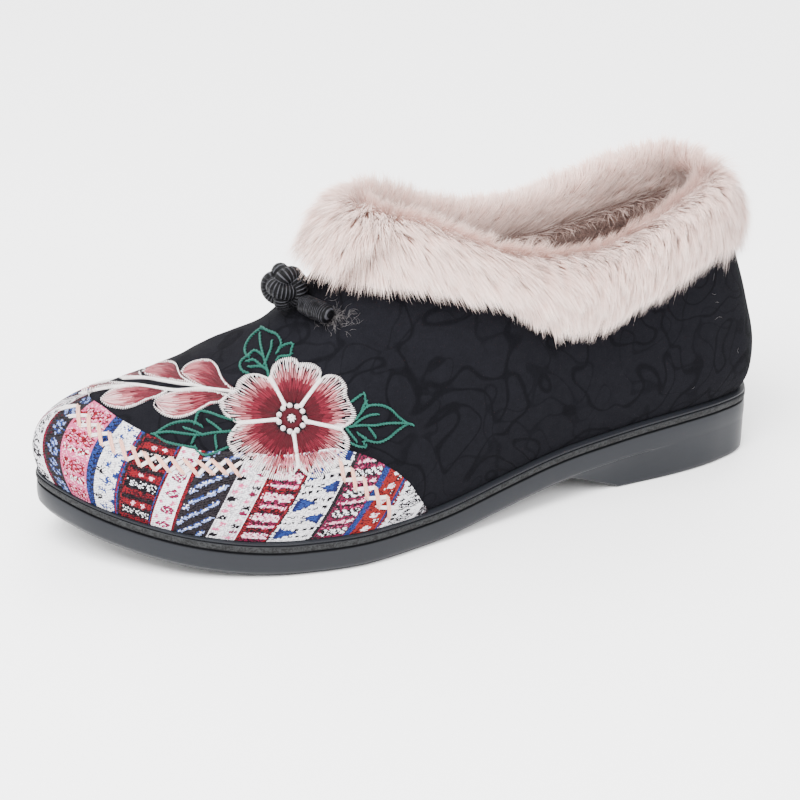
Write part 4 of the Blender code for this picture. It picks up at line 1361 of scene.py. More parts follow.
def thread_finish():
    """Twisted polyester: slanting plies in the thread's own directions, painted shade between the plies, and a
    soft sheen.
    """
    yarn = Finish("twisted_thread", 0.42, Specular_IOR_Level=0.13, Sheen_Weight=0.02)
    around = yarn.along_axis(0, "thread")
    along = yarn.along_axis(1, "thread")
    ply = ((along * 2.6 + around * 2.0) * (2 * math.pi)).wave() * 0.5 + 0.5
    fibre = yarn.noise(3000, 2.0, 0.5)
    shade = yarn.node("VertexColor", {"layer_name": "tone"})
    # Painted shade: the thread's colour is darkened between its plies.
    between_thread_shade = yarn.blend(1.0, shade, (0.42, 0.36, 0.38), "MULTIPLY")
    colour = yarn.blend((ply * 0.75 + fibre * 0.5).above(0.38, 0.5), between_thread_shade, shade)
    yarn.relief(ply + fibre * 0.4, 0.00014)
    return yarn.feed(Base_Color=colour, Roughness=0.36 + fibre * 0.2)


def finish_stitches(name, cloth_work):
    mesh = cloth_work[0]
    bmesh.ops.recalc_face_normals(mesh, faces=mesh.faces)
    data = bpy.data.meshes.new(name)
    mesh.to_mesh(data)
    mesh.free()
    piece = bpy.data.objects.new(name, data)
    bpy.context.collection.objects.link(piece)
    data.materials.append(thread_material)
    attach(piece, "root")
    return piece


def sew_flower():
    """Five petals in four overlapping rows, the rims, the dividing lines and the knotted middle."""
    dice = random.Random(11)
    sewn = new_stitches()
    centre = Vector(FLOWER_CENTRE)
    rows = (
        (0.00, 0.44, DEEP_ROSE, DEEP_ROSE, 0.00044, 0.48),
        (0.22, 0.66, DEEP_ROSE, ROSE, 0.00042, 0.50),
        (0.46, 0.86, ROSE, PINK, 0.00038, 0.44),
        (0.70, 1.00, PINK, PALE, 0.00034, 0.36),
    )
    for petal in PETALS:
        rim = smooth_line(petal, 1.0)
        first = math.atan2(*(rim[0] - centre).yx)
        sweep = (math.atan2(*(rim[-1] - centre).yx) - first) % (2 * math.pi)
        for start, end, near_tone, far_tone, width, fullness in rows:
            count = round(len(rim) * fullness)
            for index in range(count):
                way = (index + dice.uniform(0.2, 0.8)) / count
                turn = first + sweep * way
                foot = centre + Vector((math.cos(turn), math.sin(turn))) * (RING_RADIUS + 2.0)
                edge = along_line(rim, way)
                low = foot.lerp(edge, max(start + dice.uniform(-0.12, 0.10), 0.0))
                high = foot.lerp(edge, min(end + dice.uniform(-0.12, 0.08), 1.0))
                tone = mixed(near_tone, far_tone, dice.uniform(0.2, 1.0))
                lay_thread(sewn, (low, high), width, varied(tone, dice, 0.25), 0.4)
        teeth = round(len(rim) / 2.1)
        for index in range(teeth):
            way = (index + 0.5) / teeth
            edge = along_line(rim, way)
            inward = (centre - edge).normalized() * dice.uniform(2.4, 6.4)
            ends = (edge - inward * 0.2, edge + inward)
            lay_thread(sewn, ends, RIM_THREAD, varied(PALE, dice, 0.08), 0.8, 4)
    for petal in PETALS:
        edge = Vector(petal[0])
        inner = centre + (edge - centre).normalized() * RING_RADIUS
        count = round((edge - inner).length / 1.5)
        for index in range(count):
            middle = inner.lerp(edge, (index + 0.5) / count)
            across = (edge - inner).orthogonal().normalized() * 2.6 + (edge - inner).normalized() * 1.0
            ends = (middle - across, middle + across)
            lay_thread(sewn, ends, RAY_THREAD, varied(PALE, dice, 0.06), 0.9, 5)
    for index in range(RED_RAYS):
        turn = 2 * math.pi * index / RED_RAYS
        ray = Vector((math.cos(turn), math.sin(turn)))
        ends = (centre + ray * 4.5, centre + ray * 11.5)
        lay_thread(sewn, ends, RAY_THREAD, varied(DEEP_ROSE, dice), 0.7)
    for index in range(STAR_RAYS):
        turn = 2 * math.pi * index / STAR_RAYS + 0.2
        ray = Vector((math.cos(turn), math.sin(turn)))
        lay_thread(sewn, (centre, centre + ray * 4.6), STAR_THREAD, varied(PALE, dice, 0.06), 1.2)
    for index in range(RING_KNOTS):
        turn = 2 * math.pi * index / RING_KNOTS
        knot = centre + Vector((math.cos(turn), math.sin(turn))) * RING_RADIUS
        for slant in (0.2, 0.85, 1.5, 2.15, 2.8):
            across = Vector((math.cos(slant + turn), math.sin(slant + turn))) * 2.9
            ends = (knot - across, knot + across)
            lay_thread(sewn, ends, KNOT_THREAD, varied(PALE, dice, 0.05), 1.5, 5)
    return finish_stitches("embroidered_flower", sewn)


def sew_rope(sewn, pixels, width, colour, dice, length=5.2, pitch=3.1):
    """Rope stitch: short slanting stitches that overlap along a line."""
    line = smooth_line(pixels, 1.0)
    count = max(round(len(line) / pitch), 2)
    for index in range(count + 1):
        middle = along_line(line, index / count)
        along = (along_line(line, index / count + 0.05) - along_line(line, index / count - 0.05)).normalized()
        across = Vector((-along.y, along.x)) * 1.1
        ends = (middle - along * (length / 2) - across, middle + along * (length / 2) + across)
        lay_thread(sewn, ends, width, varied(colour, dice), 0.6, 5)


def sew_leaves():
    dice = random.Random(12)
    sewn = new_stitches()
    for line in LEAVES:
        sew_rope(sewn, line, ROPE_THREAD, TEAL, dice)
    return finish_stitches("embroidered_leaves", sewn)


def sew_spray():
    """Petals filled lengthwise from a dark base to a pale tip, with toothed rims, and the stems."""
    dice = random.Random(13)
    sewn = new_stitches()
    for one_side, other_side, whiteness in SPRAY:
        near = smooth_line(one_side, 1.0)
        far = smooth_line(other_side, 1.0)
        wide = 0.0
        for step in range(1, 10):
            edges = (on_cloth(along_line(near, step / 10)), on_cloth(along_line(far, step / 10)))
            if all(edges):
                wide = max(wide, (edges[0][0] - edges[1][0]).length)
        count = max(round(wide / 0.00038), 4)
        for start, end in ((0.0, 0.34), (0.18, 0.55), (0.38, 0.74), (0.58, 0.96)):
            for index in range(count):
                share = (index + dice.uniform(0.2, 0.8)) / count
                low = max(start + dice.uniform(-0.12, 0.12), 0.0)
                high = min(end + dice.uniform(-0.12, 0.10), 1.0)
                pixels = []
                for way in (low, (low + high) / 2, high):
                    pixels.append(along_line(near, way).lerp(along_line(far, way), share))
                ripe = (low + high) / 2 + whiteness * 0.5 - 0.42 + dice.uniform(-0.14, 0.14)
                ripe = min(max(ripe, 0.0), 1.0)
                tone = mixed(DEEP_ROSE, ROSE, min(ripe * 3, 1.0))
                tone = mixed(tone, PINK, min(max(ripe * 2.4 - 0.7, 0.0), 1.0))
                tone = mixed(tone, PALE, min(max(ripe * 2.4 - 1.3, 0.0), 1.0))
                lay_thread(sewn, pixels, SPRAY_THREAD, varied(tone, dice, 0.25), 0.4)
        for rim, other in ((near, far), (far, near)):
            teeth = round(len(rim) / 2.3)
            for index in range(teeth):
                way = (index + 0.5) / teeth
                edge = along_line(rim, way)
                inward = along_line(other, way) - edge
                along = along_line(rim, way - 0.04) - along_line(rim, way + 0.04)
                slant = inward.normalized() * 0.75 + along.normalized() * 0.65
                reach = min(dice.uniform(1.8, 3.6), inward.length * 0.8 + 1.0)
                ends = (edge - slant * 1.1, edge + slant * reach)
                lay_thread(sewn, ends, RIM_THREAD, varied(PALE, dice, 0.08), 0.8, 4)
    for stem in STEMS:
        sew_rope(sewn, stem, STEM_THREAD, PALE, dice, 5.0, 2.2)
    return finish_stitches("embroidered_spray", sewn)


thread_material = thread_finish()
sew_flower()
sew_leaves()
sew_spray()

# Crossed stitches
# Peach and white cord sewn in two crossing zigzags over the ribbon's seam, one run from the toe to the flower
# and one from the flower to the ribbon's outer corner.
FRONT_RUN = (
    (62, 404), (76, 413), (91, 427), (106, 439), (122, 449), (137, 457), (151, 462), (165, 464), (180, 466),
    (195, 468), (212, 467), (227, 467), (240, 469),
)
REAR_RUN = ((336, 466), (352, 478), (366, 489), (380, 500), (393, 512), (402, 524))
CROSS_REACH = 8.5
CROSS_STEP = 14.0
CROSS_THREAD = 0.00074
CROSS_APART = 1.2


def sew_crosses():
    dice = random.Random(14)
    sewn = new_stitches()
    for run in (FRONT_RUN, REAR_RUN):
        line = smooth_line(run, CROSS_STEP)
        for start, end in zip(line, line[1:]):
            across = Vector((-(end - start).y, (end - start).x)).normalized() * CROSS_REACH
            slack = (end - start) * 0.12
            for turn, colour in ((1, PEACH), (-1, PALE)):
                for shift in (-CROSS_APART, CROSS_APART):
                    beside = (end - start).normalized() * shift
                    first = start - across * turn - slack + beside
                    second = end + across * turn + slack + beside
                    lift = 1.2 if turn > 0 else 0.5
                    tone = varied(colour, dice, 0.06)
                    lay_thread(sewn, (first, second), CROSS_THREAD, tone, lift, 7, 5)
    return finish_stitches("cross_stitches", sewn)


sew_crosses()

# Fur collar
# Long pinkish artificial fur, knitted on a backing that is folded over the collar's edge and sewn down
# outside, with a shorter brown pile inside. A firm shell stands for the backing, and hairs root on it.
FUR_DEPTH = 0.0085
FUR_DROP = 0.0175
FUR_RISE = 0.0110
LINING_DEPTH = 0.0050
LINING_DROP = 0.0150
LINING_GAP = 0.0007
FLAP_TURN = 0.80
BACKING_DEPTH_TRIM = 0.0030
BACKING_RISE_TRIM = 0.0034
BACKING_DROP_TRIM = 0.0062
BACKING_SECTIONS = 240
BACKING_ROWS = 48

# share of the way to the throat, shares of the drop, rise and depth, share of the depth it leans in
FUR = (
    (0.00, 1.50, 1.10, 0.60, 0.80),
    (0.12, 1.05, 1.12, 0.75, 0.60),
    (0.30, 0.82, 1.12, 0.95, 0.20),
    (0.50, 1.00, 0.97, 1.05, 0.00),
    (0.62, 0.92, 1.00, 1.05, 0.00),
    (0.72, 0.42, 1.15, 1.00, 0.00),
    (0.80, 0.16, 1.50, 0.95, 0.10),
    (0.87, 0.45, 1.75, 1.10, 0.30),
    (0.94, 0.62, 1.75, 1.50, 0.50),
    (1.00, 0.42, 1.75, 1.75, 0.60),
)
FUR_ROUND = with_mirrored_ends(FUR, None)


def level_below_top(side, share, distance):
    """The level of a rib's point that lies a distance below its top, measured along the rib."""
    steps = 60
    walked = 0.0
    upper_end = last_point(side, share, 1.0)
    for step in range(1, steps + 1):
        level = 1 - step / steps
        lower_end = last_point(side, share, level)
        length = (upper_end - lower_end).length
        if walked + length >= distance:
            return level + (1 - (distance - walked) / length) / steps
        walked += length
        upper_end = lower_end
    return 0.0


def collar_outward(side, share):
    """Level direction out of the collar, square to its edge."""
    step = 0.01
    if share < step:
        along = top_point(side, step) - top_point(-side, step)
    elif share > THROAT - step:
        along = top_point(-side, THROAT - step) - top_point(side, THROAT - step)
    else:
        along = top_point(side, share + step) - top_point(side, share - step)
    return Vector((-along.y, along.x, 0.0)).normalized() * side


def flap_path(side, share, drop):
    """Where fur of a length ends on the cloth: down the rib at the sides, turning forward at the throat."""
    turn = min(max((share / THROAT - FLAP_TURN) / (1 - FLAP_TURN), 0.0), 1.0)
    angle = (3 * turn * turn - 2 * turn ** 3) * math.pi / 2
    stretch = 0.05
    ridge_run = (top_point(1, THROAT + stretch) - top_point(1, THROAT)).length / stretch
    end_share = share + drop * math.sin(angle) / ridge_run
    return end_share, level_below_top(side, end_share, drop * math.cos(angle))


def backing_section(side, share):
    """The fur's backing at one place: what lies on the cloth, and the face that carries the hairs."""
    drop, rise, depth, lean = (curve_through(FUR_ROUND, share / THROAT, column) for column in range(1, 5))
    drop = max(drop * FUR_DROP - BACKING_DROP_TRIM, 0.0006)
    rise = rise * FUR_RISE - BACKING_RISE_TRIM
    depth = depth * FUR_DEPTH - BACKING_DEPTH_TRIM
    edge = top_point(side, share)
    outward = collar_outward(side, share)
    over = Vector((-outward.x * lean * FUR_DEPTH, 0.0, 0.0))
    flap = flap_path(side, share, drop)
    hem = flap_path(side, share, LINING_DROP)

    def on_flap(way, away):
        """A point outside the cloth, a share of the way from the collar's edge to the flap's end."""
        return wall_point(side, share + (flap[0] - share) * way, 1 + (flap[1] - 1) * way, -away)

    def in_lining(way, away):
        """A point inside the cloth, a share of the way from the collar's edge to the lining's hem."""
        return wall_point(side, share + (hem[0] - share) * way, 1 + (hem[1] - 1) * way, UPPER_WALL + away)

    lining = UPPER_WALL + LINING_DEPTH * 0.6
    contact = [
        on_flap(0.66, GAP),
        on_flap(0.33, GAP),
        edge + outward * GAP + UP * GAP,
        edge - outward * (UPPER_WALL + LINING_GAP) + UP * GAP,
        in_lining(0.5, LINING_GAP),
    ]
    face = [
        in_lining(1.0, LINING_GAP),
        in_lining(0.9, LINING_DEPTH * 0.5),
        in_lining(0.5, LINING_DEPTH * 0.6),
        edge - outward * lining + over * 0.4 + UP * rise * 0.2,
        edge - outward * lining * 0.8 + over * 0.9 + UP * rise * 0.8,
        edge - outward * UPPER_WALL * 0.5 + over + UP * rise,
        edge + outward * depth * 0.6 + over + UP * rise * 0.8,
        edge + outward * depth + over * 0.4 + UP * rise * 0.15,
        on_flap(0.5, min(depth, FUR_DEPTH - BACKING_DEPTH_TRIM)),
        on_flap(0.9, min(depth, FUR_DEPTH - BACKING_DEPTH_TRIM) * 0.6),
        on_flap(1.0, GAP),
    ]
    return contact, face


def smooth_run(points, count):
    """Evenly spaced points on a smooth curve through some points."""
    walked = [0.0]
    for first, second in zip(points, points[1:]):
        walked.append(walked[-1] + max((second - first).length, 1e-6))
    rows = [(place, *point) for place, point in zip(walked, points)]
    places = [walked[-1] * index / (count - 1) for index in range(count)]
    return [Vector([curve_through(rows, place, column) for column in (1, 2, 3)]) for place in places]


def build_backing():
    """The backing as a closed ring, and its hair-bearing face as a grid of points."""
    outer = [(1, share) for share in collar_shares(BACKING_SECTIONS // 2)]
    inner = [(-1, THROAT)] + [(-1, share) for side, share in reversed(outer[1:])]
    mesh = bmesh.new()
    sections = []
    grid = []
    for side, share in inner + outer:
        contact, face = backing_section(side, share)
        face = smooth_run(face, BACKING_ROWS)
        grid.append(face)
        sections.append([mesh.verts.new(point) for point in face + contact])
    for section, following in zip(sections, sections[1:] + sections[:1]):
        for row in range(len(section)):
            after = (row + 1) % len(section)
            mesh.faces.new((section[row], following[row], following[after], section[after]))
    bmesh.ops.recalc_face_normals(mesh, faces=mesh.faces)
    return named_object("fur_backing", mesh, 180), np.array(grid, dtype=float)


# Hair colour from root to tip: the dark root is painted shade deep in the fur, and the pale tip is partly
# painted highlight.
FUR_SHADED_ROOT = (0.42, 0.245, 0.200)
FUR_MIDDLE = (0.82, 0.580, 0.505)
FUR_TIP_AND_HIGHLIGHT = (0.95, 0.800, 0.735)
# brown of the lining and guard hairs, also used as painted shade in the backing and the parting
FUR_BROWN_AND_SHADE = (0.080, 0.043, 0.032)
FUR_SEED = 11
HAIRS = 150000
LOCKS = 5200
# where the photo shows the hairs of the front part parting, and how far painted shade of the parting reaches
# beside that line
PARTING = ((350.0, 271.0), (392.0, 240.0))
PARTING_REACH = 9.0
HAIR_LENGTH = 0.0088
HAIR_WIDTH = 0.00019
# how soon the hairs turn away from the flap's lowest place, how far in front of it, and how softly that ends
STREAM_TURN = 0.014
STREAM_END = 0.078
STREAM_FADE = 0.02
LINING_HAIR_LENGTH = 0.0032
LINING_ROWS = 0.30
FUR_PIECES = 4


def unit(vectors):
    return vectors / np.maximum(np.linalg.norm(vectors, axis=-1, keepdims=True), 1e-9)


def fur_field(grid):
    """Normals of the backing's face, and its directions over the edge."""
    after, before = np.roll(grid, -1, axis=0), np.roll(grid, 1, axis=0)
    around = unit(after - before)
    over = unit(np.gradient(grid, axis=1))
    normal = unit(np.cross(over, around))
    middle = grid.mean(axis=1, keepdims=True)
    crest = grid.shape[1] // 2
    turned = ((grid - middle)[:, crest] * normal[:, crest]).sum(axis=-1).mean() < 0
    return (-normal if turned else normal), over


def scatter(grid, fields, count, dice):
    """Random places on the backing's face, evenly by area: position, fields, place round and place over."""
    after = np.roll(grid, -1, axis=0)
    side_a = after[:, :-1] - grid[:, :-1]
    side_b = grid[:, 1:] - grid[:, :-1]
    areas = np.linalg.norm(np.cross(side_a, side_b), axis=-1)
    chances = areas.ravel() / areas.sum()
    cells = dice.choice(len(chances), size=count, p=chances)
    columns, rows = np.divmod(cells, grid.shape[1] - 1)
    right, upper_rows = (columns + 1) % len(grid), rows + 1
    across, up = dice.random((2, count, 1))

    def mixed(values):
        low = values[columns, rows] * (1 - across) + values[right, rows] * across
        high = values[columns, upper_rows] * (1 - across) + values[right, upper_rows] * across
        return low * (1 - up) + high * up

    place = (rows + up[:, 0]) / (grid.shape[1] - 1)
    around = (columns + across[:, 0]) / len(grid)
    return mixed(grid), [unit(mixed(field)) for field in fields], around, place


def hair_ribbons(name, root, middle, tip, sideways, width, colours):
    """Hairs as narrow tapering ribbons of one bend, in one mesh that carries their colours."""
    count = len(root)
    across = sideways * width
    corners = [root - across, root + across, middle - across * 0.75, middle + across * 0.75, tip]
    points = np.stack(corners, axis=1)
    base = np.arange(count)[:, None] * 5
    quads = (base + np.array([0, 1, 3, 2])).astype(np.int32)
    ends = (base + np.array([2, 3, 4])).astype(np.int32)
    data = bpy.data.meshes.new(name)
    data.vertices.add(count * 5)
    data.vertices.foreach_set("co", points.ravel())
    data.loops.add(count * 7)
    corners = np.concatenate([quads, ends], axis=1).ravel()
    data.loops.foreach_set("vertex_index", corners)
    data.polygons.add(count * 2)
    starts = (np.arange(count)[:, None] * 7 + np.array([0, 4])).ravel()
    data.polygons.foreach_set("loop_start", starts.astype(np.int32))
    data.update(calc_edges=True)
    shade = data.color_attributes.new("hair", "FLOAT_COLOR", "POINT")
    levels = np.stack([colours[0], colours[0], colours[1], colours[1], colours[2]], axis=1)
    opaque = np.ones((count, 5, 1))
    shade.data.foreach_set("color", np.concatenate([levels, opaque], axis=2).ravel())
    data.validate()
    data.shade_smooth()
    made = bpy.data.objects.new(name, data)
    bpy.context.scene.collection.objects.link(made)
    return made


def grow_fur(grid):
    """All the hairs, combed over the edge and down, drawn into locks, in pieces round the collar."""
    dice = np.random.default_rng(FUR_SEED)
    fields = fur_field(grid)
    root, (normal, over), turn, place = scatter(grid, fields, HAIRS, dice)
    lock_root, (lock_normal, lock_over) = scatter(grid, fields, LOCKS, dice)[:2]

    near = KDTree(LOCKS)
    for index, point in enumerate(lock_root):
        near.insert(Vector(point), index)
    near.balance()
    lock = np.array([near.find(Vector(point))[1] for point in root])

    lining = np.clip((LINING_ROWS - place) / 0.08, 0.0, 1.0)[:, None]
    end = np.clip((place - 0.80) / 0.2, 0.0, 1.0)[:, None]
    crest = np.exp(-((place - 0.56) / 0.13) ** 2)[:, None]
    inner = np.clip((0.60 - place) / 0.2, 0.0, 1.0)[:, None]
    back = np.array([-1.0, 0.0, 0.0])
    down = np.array([0.0, 0.0, -1.0])
    lean = dice.normal(0.0, 0.16, (LOCKS, 3))[lock]
    stray = dice.normal(0.0, 0.11, (HAIRS, 3))
    outer_face = np.clip((place - 0.50) / 0.15, 0.0, 1.0)[:, None]
    lowest = grid[grid[:, -1, 2].argmin(), -1, 0]
    ahead = root[:, :1] - lowest
    stream = np.tanh(ahead / STREAM_TURN) * np.clip((STREAM_END - ahead) / STREAM_FADE, 0.0, 1.0)
    backward = 0.10 + 0.75 * inner + 0.80 * stream * outer_face
    flow = unit(over + back * backward + lean + stray + down * end * 0.25)
    flow = unit(flow * (1 - lining) + dice.normal(0.0, 1.0, (HAIRS, 3)) * lining)
    flow = unit(flow - normal * (flow * normal).sum(axis=1, keepdims=True))
    long_lock = dice.normal(1.0, 0.12, (LOCKS, 1))[lock]
    length = HAIR_LENGTH * long_lock * dice.uniform(0.75, 1.15, (HAIRS, 1)) * (1 + 0.05 * end)
    length = length * (1 - lining) + LINING_HAIR_LENGTH * dice.uniform(0.7, 1.2, (HAIRS, 1)) * lining
    rise = 0.62 + 0.16 * crest - 0.22 * end + dice.normal(0.0, 0.07, (HAIRS, 1))
    middle = root + (normal * rise + flow * 0.8) * length * 0.5
    sag = 0.10 * (1 - lining)
    tip = root + (normal * rise * 0.72 + flow * 0.86 + down * sag) * length
    lock_tip = lock_root + (lock_normal * 0.50 + lock_over) * HAIR_LENGTH * 0.9
    pull = 0.26 * (1 - lining) * dice.uniform(0.4, 1.0, (HAIRS, 1))
    toward = (lock_tip[lock] - tip)
    toward = toward - flow * (toward * flow).sum(axis=1, keepdims=True)
    tip = tip + toward * pull
    middle = middle + toward * pull * 0.35
    sideways = unit(np.cross(tip - root, normal) + dice.normal(0.0, 0.0006, (HAIRS, 3)))
    width = HAIR_WIDTH * dice.uniform(0.6, 1.2, (HAIRS, 1)) / 2

    tone = dice.normal(0.0, 0.05, (LOCKS, 1))[lock] + dice.normal(0.0, 0.05, (HAIRS, 1))
    brown = (dice.random((HAIRS, 1)) < 0.07) * 0.45
    # The lining's brown and the brown guard hairs, with a band of painted shade inside the collar.
    brown_and_painted_shade = np.clip(lining * 0.95 + 0.20 * np.exp(-((place - 0.36) / 0.10) ** 2)[:, None] + brown, 0.0, 1.0)
    shaded_root_colour, middle_colour, tip_and_highlight_colour, brown_and_shade_colour = (
        np.array(colour)[None, :] for colour in (FUR_SHADED_ROOT, FUR_MIDDLE, FUR_TIP_AND_HIGHLIGHT, FUR_BROWN_AND_SHADE)
    )
    ray = middle - np.array(camera_place)
    depth = -(ray @ np.array(camera_back))
    right = PHOTO_SIZE / 2 + CENTRE_RIGHT + FOCAL_PIXELS * (ray @ np.array(camera_right)) / depth
    down = PHOTO_SIZE / 2 + CENTRE_DOWN - FOCAL_PIXELS * (ray @ np.array(camera_up)) / depth
    line = np.array(PARTING[1]) - np.array(PARTING[0])
    apart = np.stack([right, down], axis=1) - np.array(PARTING[0])
    way = np.clip(apart @ line / (line @ line), 0.0, 1.0)[:, None]
    off = np.linalg.norm(apart - way * line, axis=1, keepdims=True)
    on_front = (root[:, 1:2] > -0.01) * (place[:, None] > 0.42)
    # Painted shade along the parting of the front fur, on all of each hair near the line.
    parting_shade = np.exp(-((off / PARTING_REACH) ** 2)) * (0.95 - 0.45 * way) * on_front
    colours = []
    for base, worth in ((shaded_root_colour, 1.0), (middle_colour, 0.9), (tip_and_highlight_colour, 0.75)):
        dark = np.clip(brown_and_painted_shade + parting_shade * worth * dice.uniform(0.4, 1.6, (HAIRS, 1)), 0.0, 1.0)
        mixed = base * (1 - dark) + brown_and_shade_colour * (0.55 + base) * dark
        colours.append(np.clip(mixed * (1 + tone), 0.0, 0.96))
    pieces = []
    for number in range(FUR_PIECES):
        mine = (turn * FUR_PIECES).astype(int) == number
        parts = (root[mine], middle[mine], tip[mine], sideways[mine], width[mine])
        pieces.append(hair_ribbons(f"fur_hairs_{number + 1}", *parts, [shade[mine] for shade in colours]))
    return pieces


def hair_finish():
    """Soft hair: colour by root, length and lock, painted shade at roots and painted highlight at tips, with a
    pale gloss.
    """
    hair = Finish("fur_hair", 0.62, Specular_IOR_Level=0.18, Sheen_Weight=0.25, Sheen_Roughness=0.6)
    shade = hair.node("VertexColor", {"layer_name": "hair"})
    mottle = hair.noise(160, 2.0, 0.5)
    return hair.feed(Base_Color=hair.blend(mottle * 0.25, shade, [tone * 0.8 for tone in FUR_MIDDLE]))


def backing_finish():
    """The knitted ground under the hairs, painted dark as the shade between them."""
    ground = Finish("fur_backing", 0.95, Specular_IOR_Level=0.1)
    tufts = ground.noise(700, 3.0, 0.6)
    ground.relief(tufts, 0.0006)
    return ground.feed(Base_Color=ground.blend(tufts, FUR_BROWN_AND_SHADE, FUR_SHADED_ROOT))


fur_backing, fur_grid = build_backing()
fur_backing.data.materials.append(backing_finish())
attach(fur_backing, "root")
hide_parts("fur_collar")
fur_hair = hair_finish()
for fur_piece in grow_fur(fur_grid):
    fur_piece.data.materials.append(fur_hair)
    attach(fur_piece, "root")

# Knotted button and its loop
# A ball of black satin cord plaited in three leads, sewn on the vamp under the front of the fur, and the
# wound cord of its loop beside it. The satin is wound round the cord; grey is painted on some ridge crests as
# highlight.
KNOT_SHARE = 0.707
KNOT_RADIUS = 0.0076
PLAIT_TURNS = 3
PLAIT_BIGHTS = 4
PLAIT_SPREAD = 0.98
PLAIT_WEAVE = 0.0010
PLAIT_CORD = 0.0029
PLAIT_STEPS = 288
CORD_CORNERS = 14
DOME_HALF_HEIGHT = 0.0040
DRUM_RADIUS = 0.0033
DRUM_LENGTH = 0.0145
DRUM_TUCK = 0.0012
DRUM_STEPS = 24

knot_spot = top_point(1, KNOT_SHARE)
knot_forward = ridge_direction(KNOT_SHARE).normalized()
knot_out = last_normal(1, KNOT_SHARE, 1.0)
knot_across = knot_out.cross(knot_forward)
knot_middle = knot_spot + knot_out * (KNOT_RADIUS + GAP)


def cord_along(mesh, wound, points, radii, closed):
    """A round cord through points, its corners counted round and along so that the winding can follow."""
    corners = CORD_CORNERS
    count = len(points)
    rings = []
    walk = [0.0]
    upright = knot_out
    for index, point in enumerate(points):
        before = points[(index - 1) % count] if closed else points[max(index - 1, 0)]
        after = points[(index + 1) % count] if closed else points[min(index + 1, count - 1)]
        along = (after - before).normalized()
        upright = (upright - along * upright.dot(along)).normalized()
        side = along.cross(upright)
        ring = []
        for corner in range(corners):
            turn = 2 * math.pi * corner / corners
            spoke = side * math.cos(turn) + upright * math.sin(turn)
            ring.append(mesh.verts.new(point + spoke * radii[index]))
        rings.append(ring)
        walk.append(walk[-1] + (after - point).length)
    pairs = list(zip(rings, rings[1:])) + ([(rings[-1], rings[0])] if closed else [])
    for index, (ring, following) in enumerate(pairs):
        for corner in range(corners):
            other = (corner + 1) % corners
            face = mesh.faces.new((ring[corner], ring[other], following[other], following[corner]))
            for loop, turn, far in zip(face.loops, (0, 1, 1, 0), (0, 0, 1, 1)):
                loop[wound].uv = ((corner + turn) / corners, walk[index + far] * 1000)
    if not closed:
        mesh.faces.new(list(reversed(rings[0])))
        mesh.faces.new(rings[-1])


def cord_finish():
    """Black satin wound round a core: close ridges, painted grey highlights on scattered crests, strands
    painted lighter on top.
    """
    satin = Finish("satin_cord", 0.40, Specular_IOR_Level=0.08)
    around = satin.along_axis(0, "wound")
    along = satin.along_axis(1, "wound")
    ridge = ((along * 1.35 + around) * (2 * math.pi)).wave() * 0.5 + 0.5
    strand = ((along * 7.0 + around * 1.5) * (2 * math.pi)).wave() * 0.5 + 0.5
    patch = satin.noise(420, 3.0, 0.6)
    # Painted highlight: grey on scattered ridge crests, and the strands lighter on their crests.
    ridge_highlight = ridge.above(0.80, 0.2) * patch.above(0.40, 0.3)
    ground = satin.blend(strand, (0.0006, 0.0006, 0.0009), (0.0028, 0.0028, 0.0036))
    colour = satin.blend(ridge_highlight * 0.8, ground, (0.050, 0.050, 0.057))
    satin.relief(ridge + strand * 0.25, 0.00035)
    return satin.feed(Base_Color=colour, Roughness=0.30 + patch * 0.25)


def build_button():
    """One closed cord plaited over and under itself round a ball, with a core that fills its middle."""
    mesh = bmesh.new()
    wound = mesh.loops.layers.uv.new("wound")
    core = KNOT_RADIUS - PLAIT_CORD - PLAIT_WEAVE * 0.6
    points = []
    for index in range(PLAIT_STEPS):
        turn = 2 * math.pi * PLAIT_TURNS * index / PLAIT_STEPS
        phase = turn * PLAIT_BIGHTS / PLAIT_TURNS
        rise = PLAIT_SPREAD * math.sin(phase)
        reach = core + PLAIT_WEAVE * math.sin(2 * phase)
        level = (knot_across * math.cos(turn) + knot_forward * math.sin(turn)) * math.cos(rise)
        points.append(knot_middle + (level + knot_out * math.sin(rise)) * reach)
    cord_along(mesh, wound, points, [PLAIT_CORD] * PLAIT_STEPS, True)
    dome = [knot_middle + knot_out * (DOME_HALF_HEIGHT * step / 6) for step in range(-6, 7)]
    bulge = [PLAIT_CORD * (0.35 + 0.75 * math.sqrt(1 - (step / 6.6) ** 2)) for step in range(-6, 7)]
    cord_along(mesh, wound, dome, bulge, False)
    bmesh.ops.recalc_face_normals(mesh, faces=mesh.faces)
    return named_object("plaited_button", mesh, 60)


def build_drum():
    """The loop's wound cord: a drum with rounded ends that lies on the cloth beside the button."""
    mesh = bmesh.new()
    wound = mesh.loops.layers.uv.new("wound")
    start = knot_spot + knot_across * (KNOT_RADIUS - DRUM_TUCK) + knot_out * (DRUM_RADIUS + GAP)
    toward = (knot_across - knot_forward * 0.25).normalized()
    points = []
    radii = []
    for step in range(DRUM_STEPS + 1):
        way = step / DRUM_STEPS
        spot, normal = cloth_tree.find_nearest(start + toward * (DRUM_LENGTH * way))[:2]
        lift = normal if normal.dot(knot_out) > 0 else -normal
        points.append(spot + lift * (DRUM_RADIUS + GAP))
        swell = math.sqrt(max(1 - (2 * way - 1) ** 8, 0.0))
        radii.append(DRUM_RADIUS * (0.25 + 0.75 * swell))
    cord_along(mesh, wound, points, radii, False)
    bmesh.ops.recalc_face_normals(mesh, faces=mesh.faces)
    return named_object("wound_loop", mesh, 60)


cord_material = cord_finish()
plaited_button = build_button()
wound_loop = build_drum()
for piece, node in ((plaited_button, "knot_button"), (wound_loop, "knot_loop")):
    piece.data.materials.append(cord_material)
    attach(piece, "root")
    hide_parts(node)

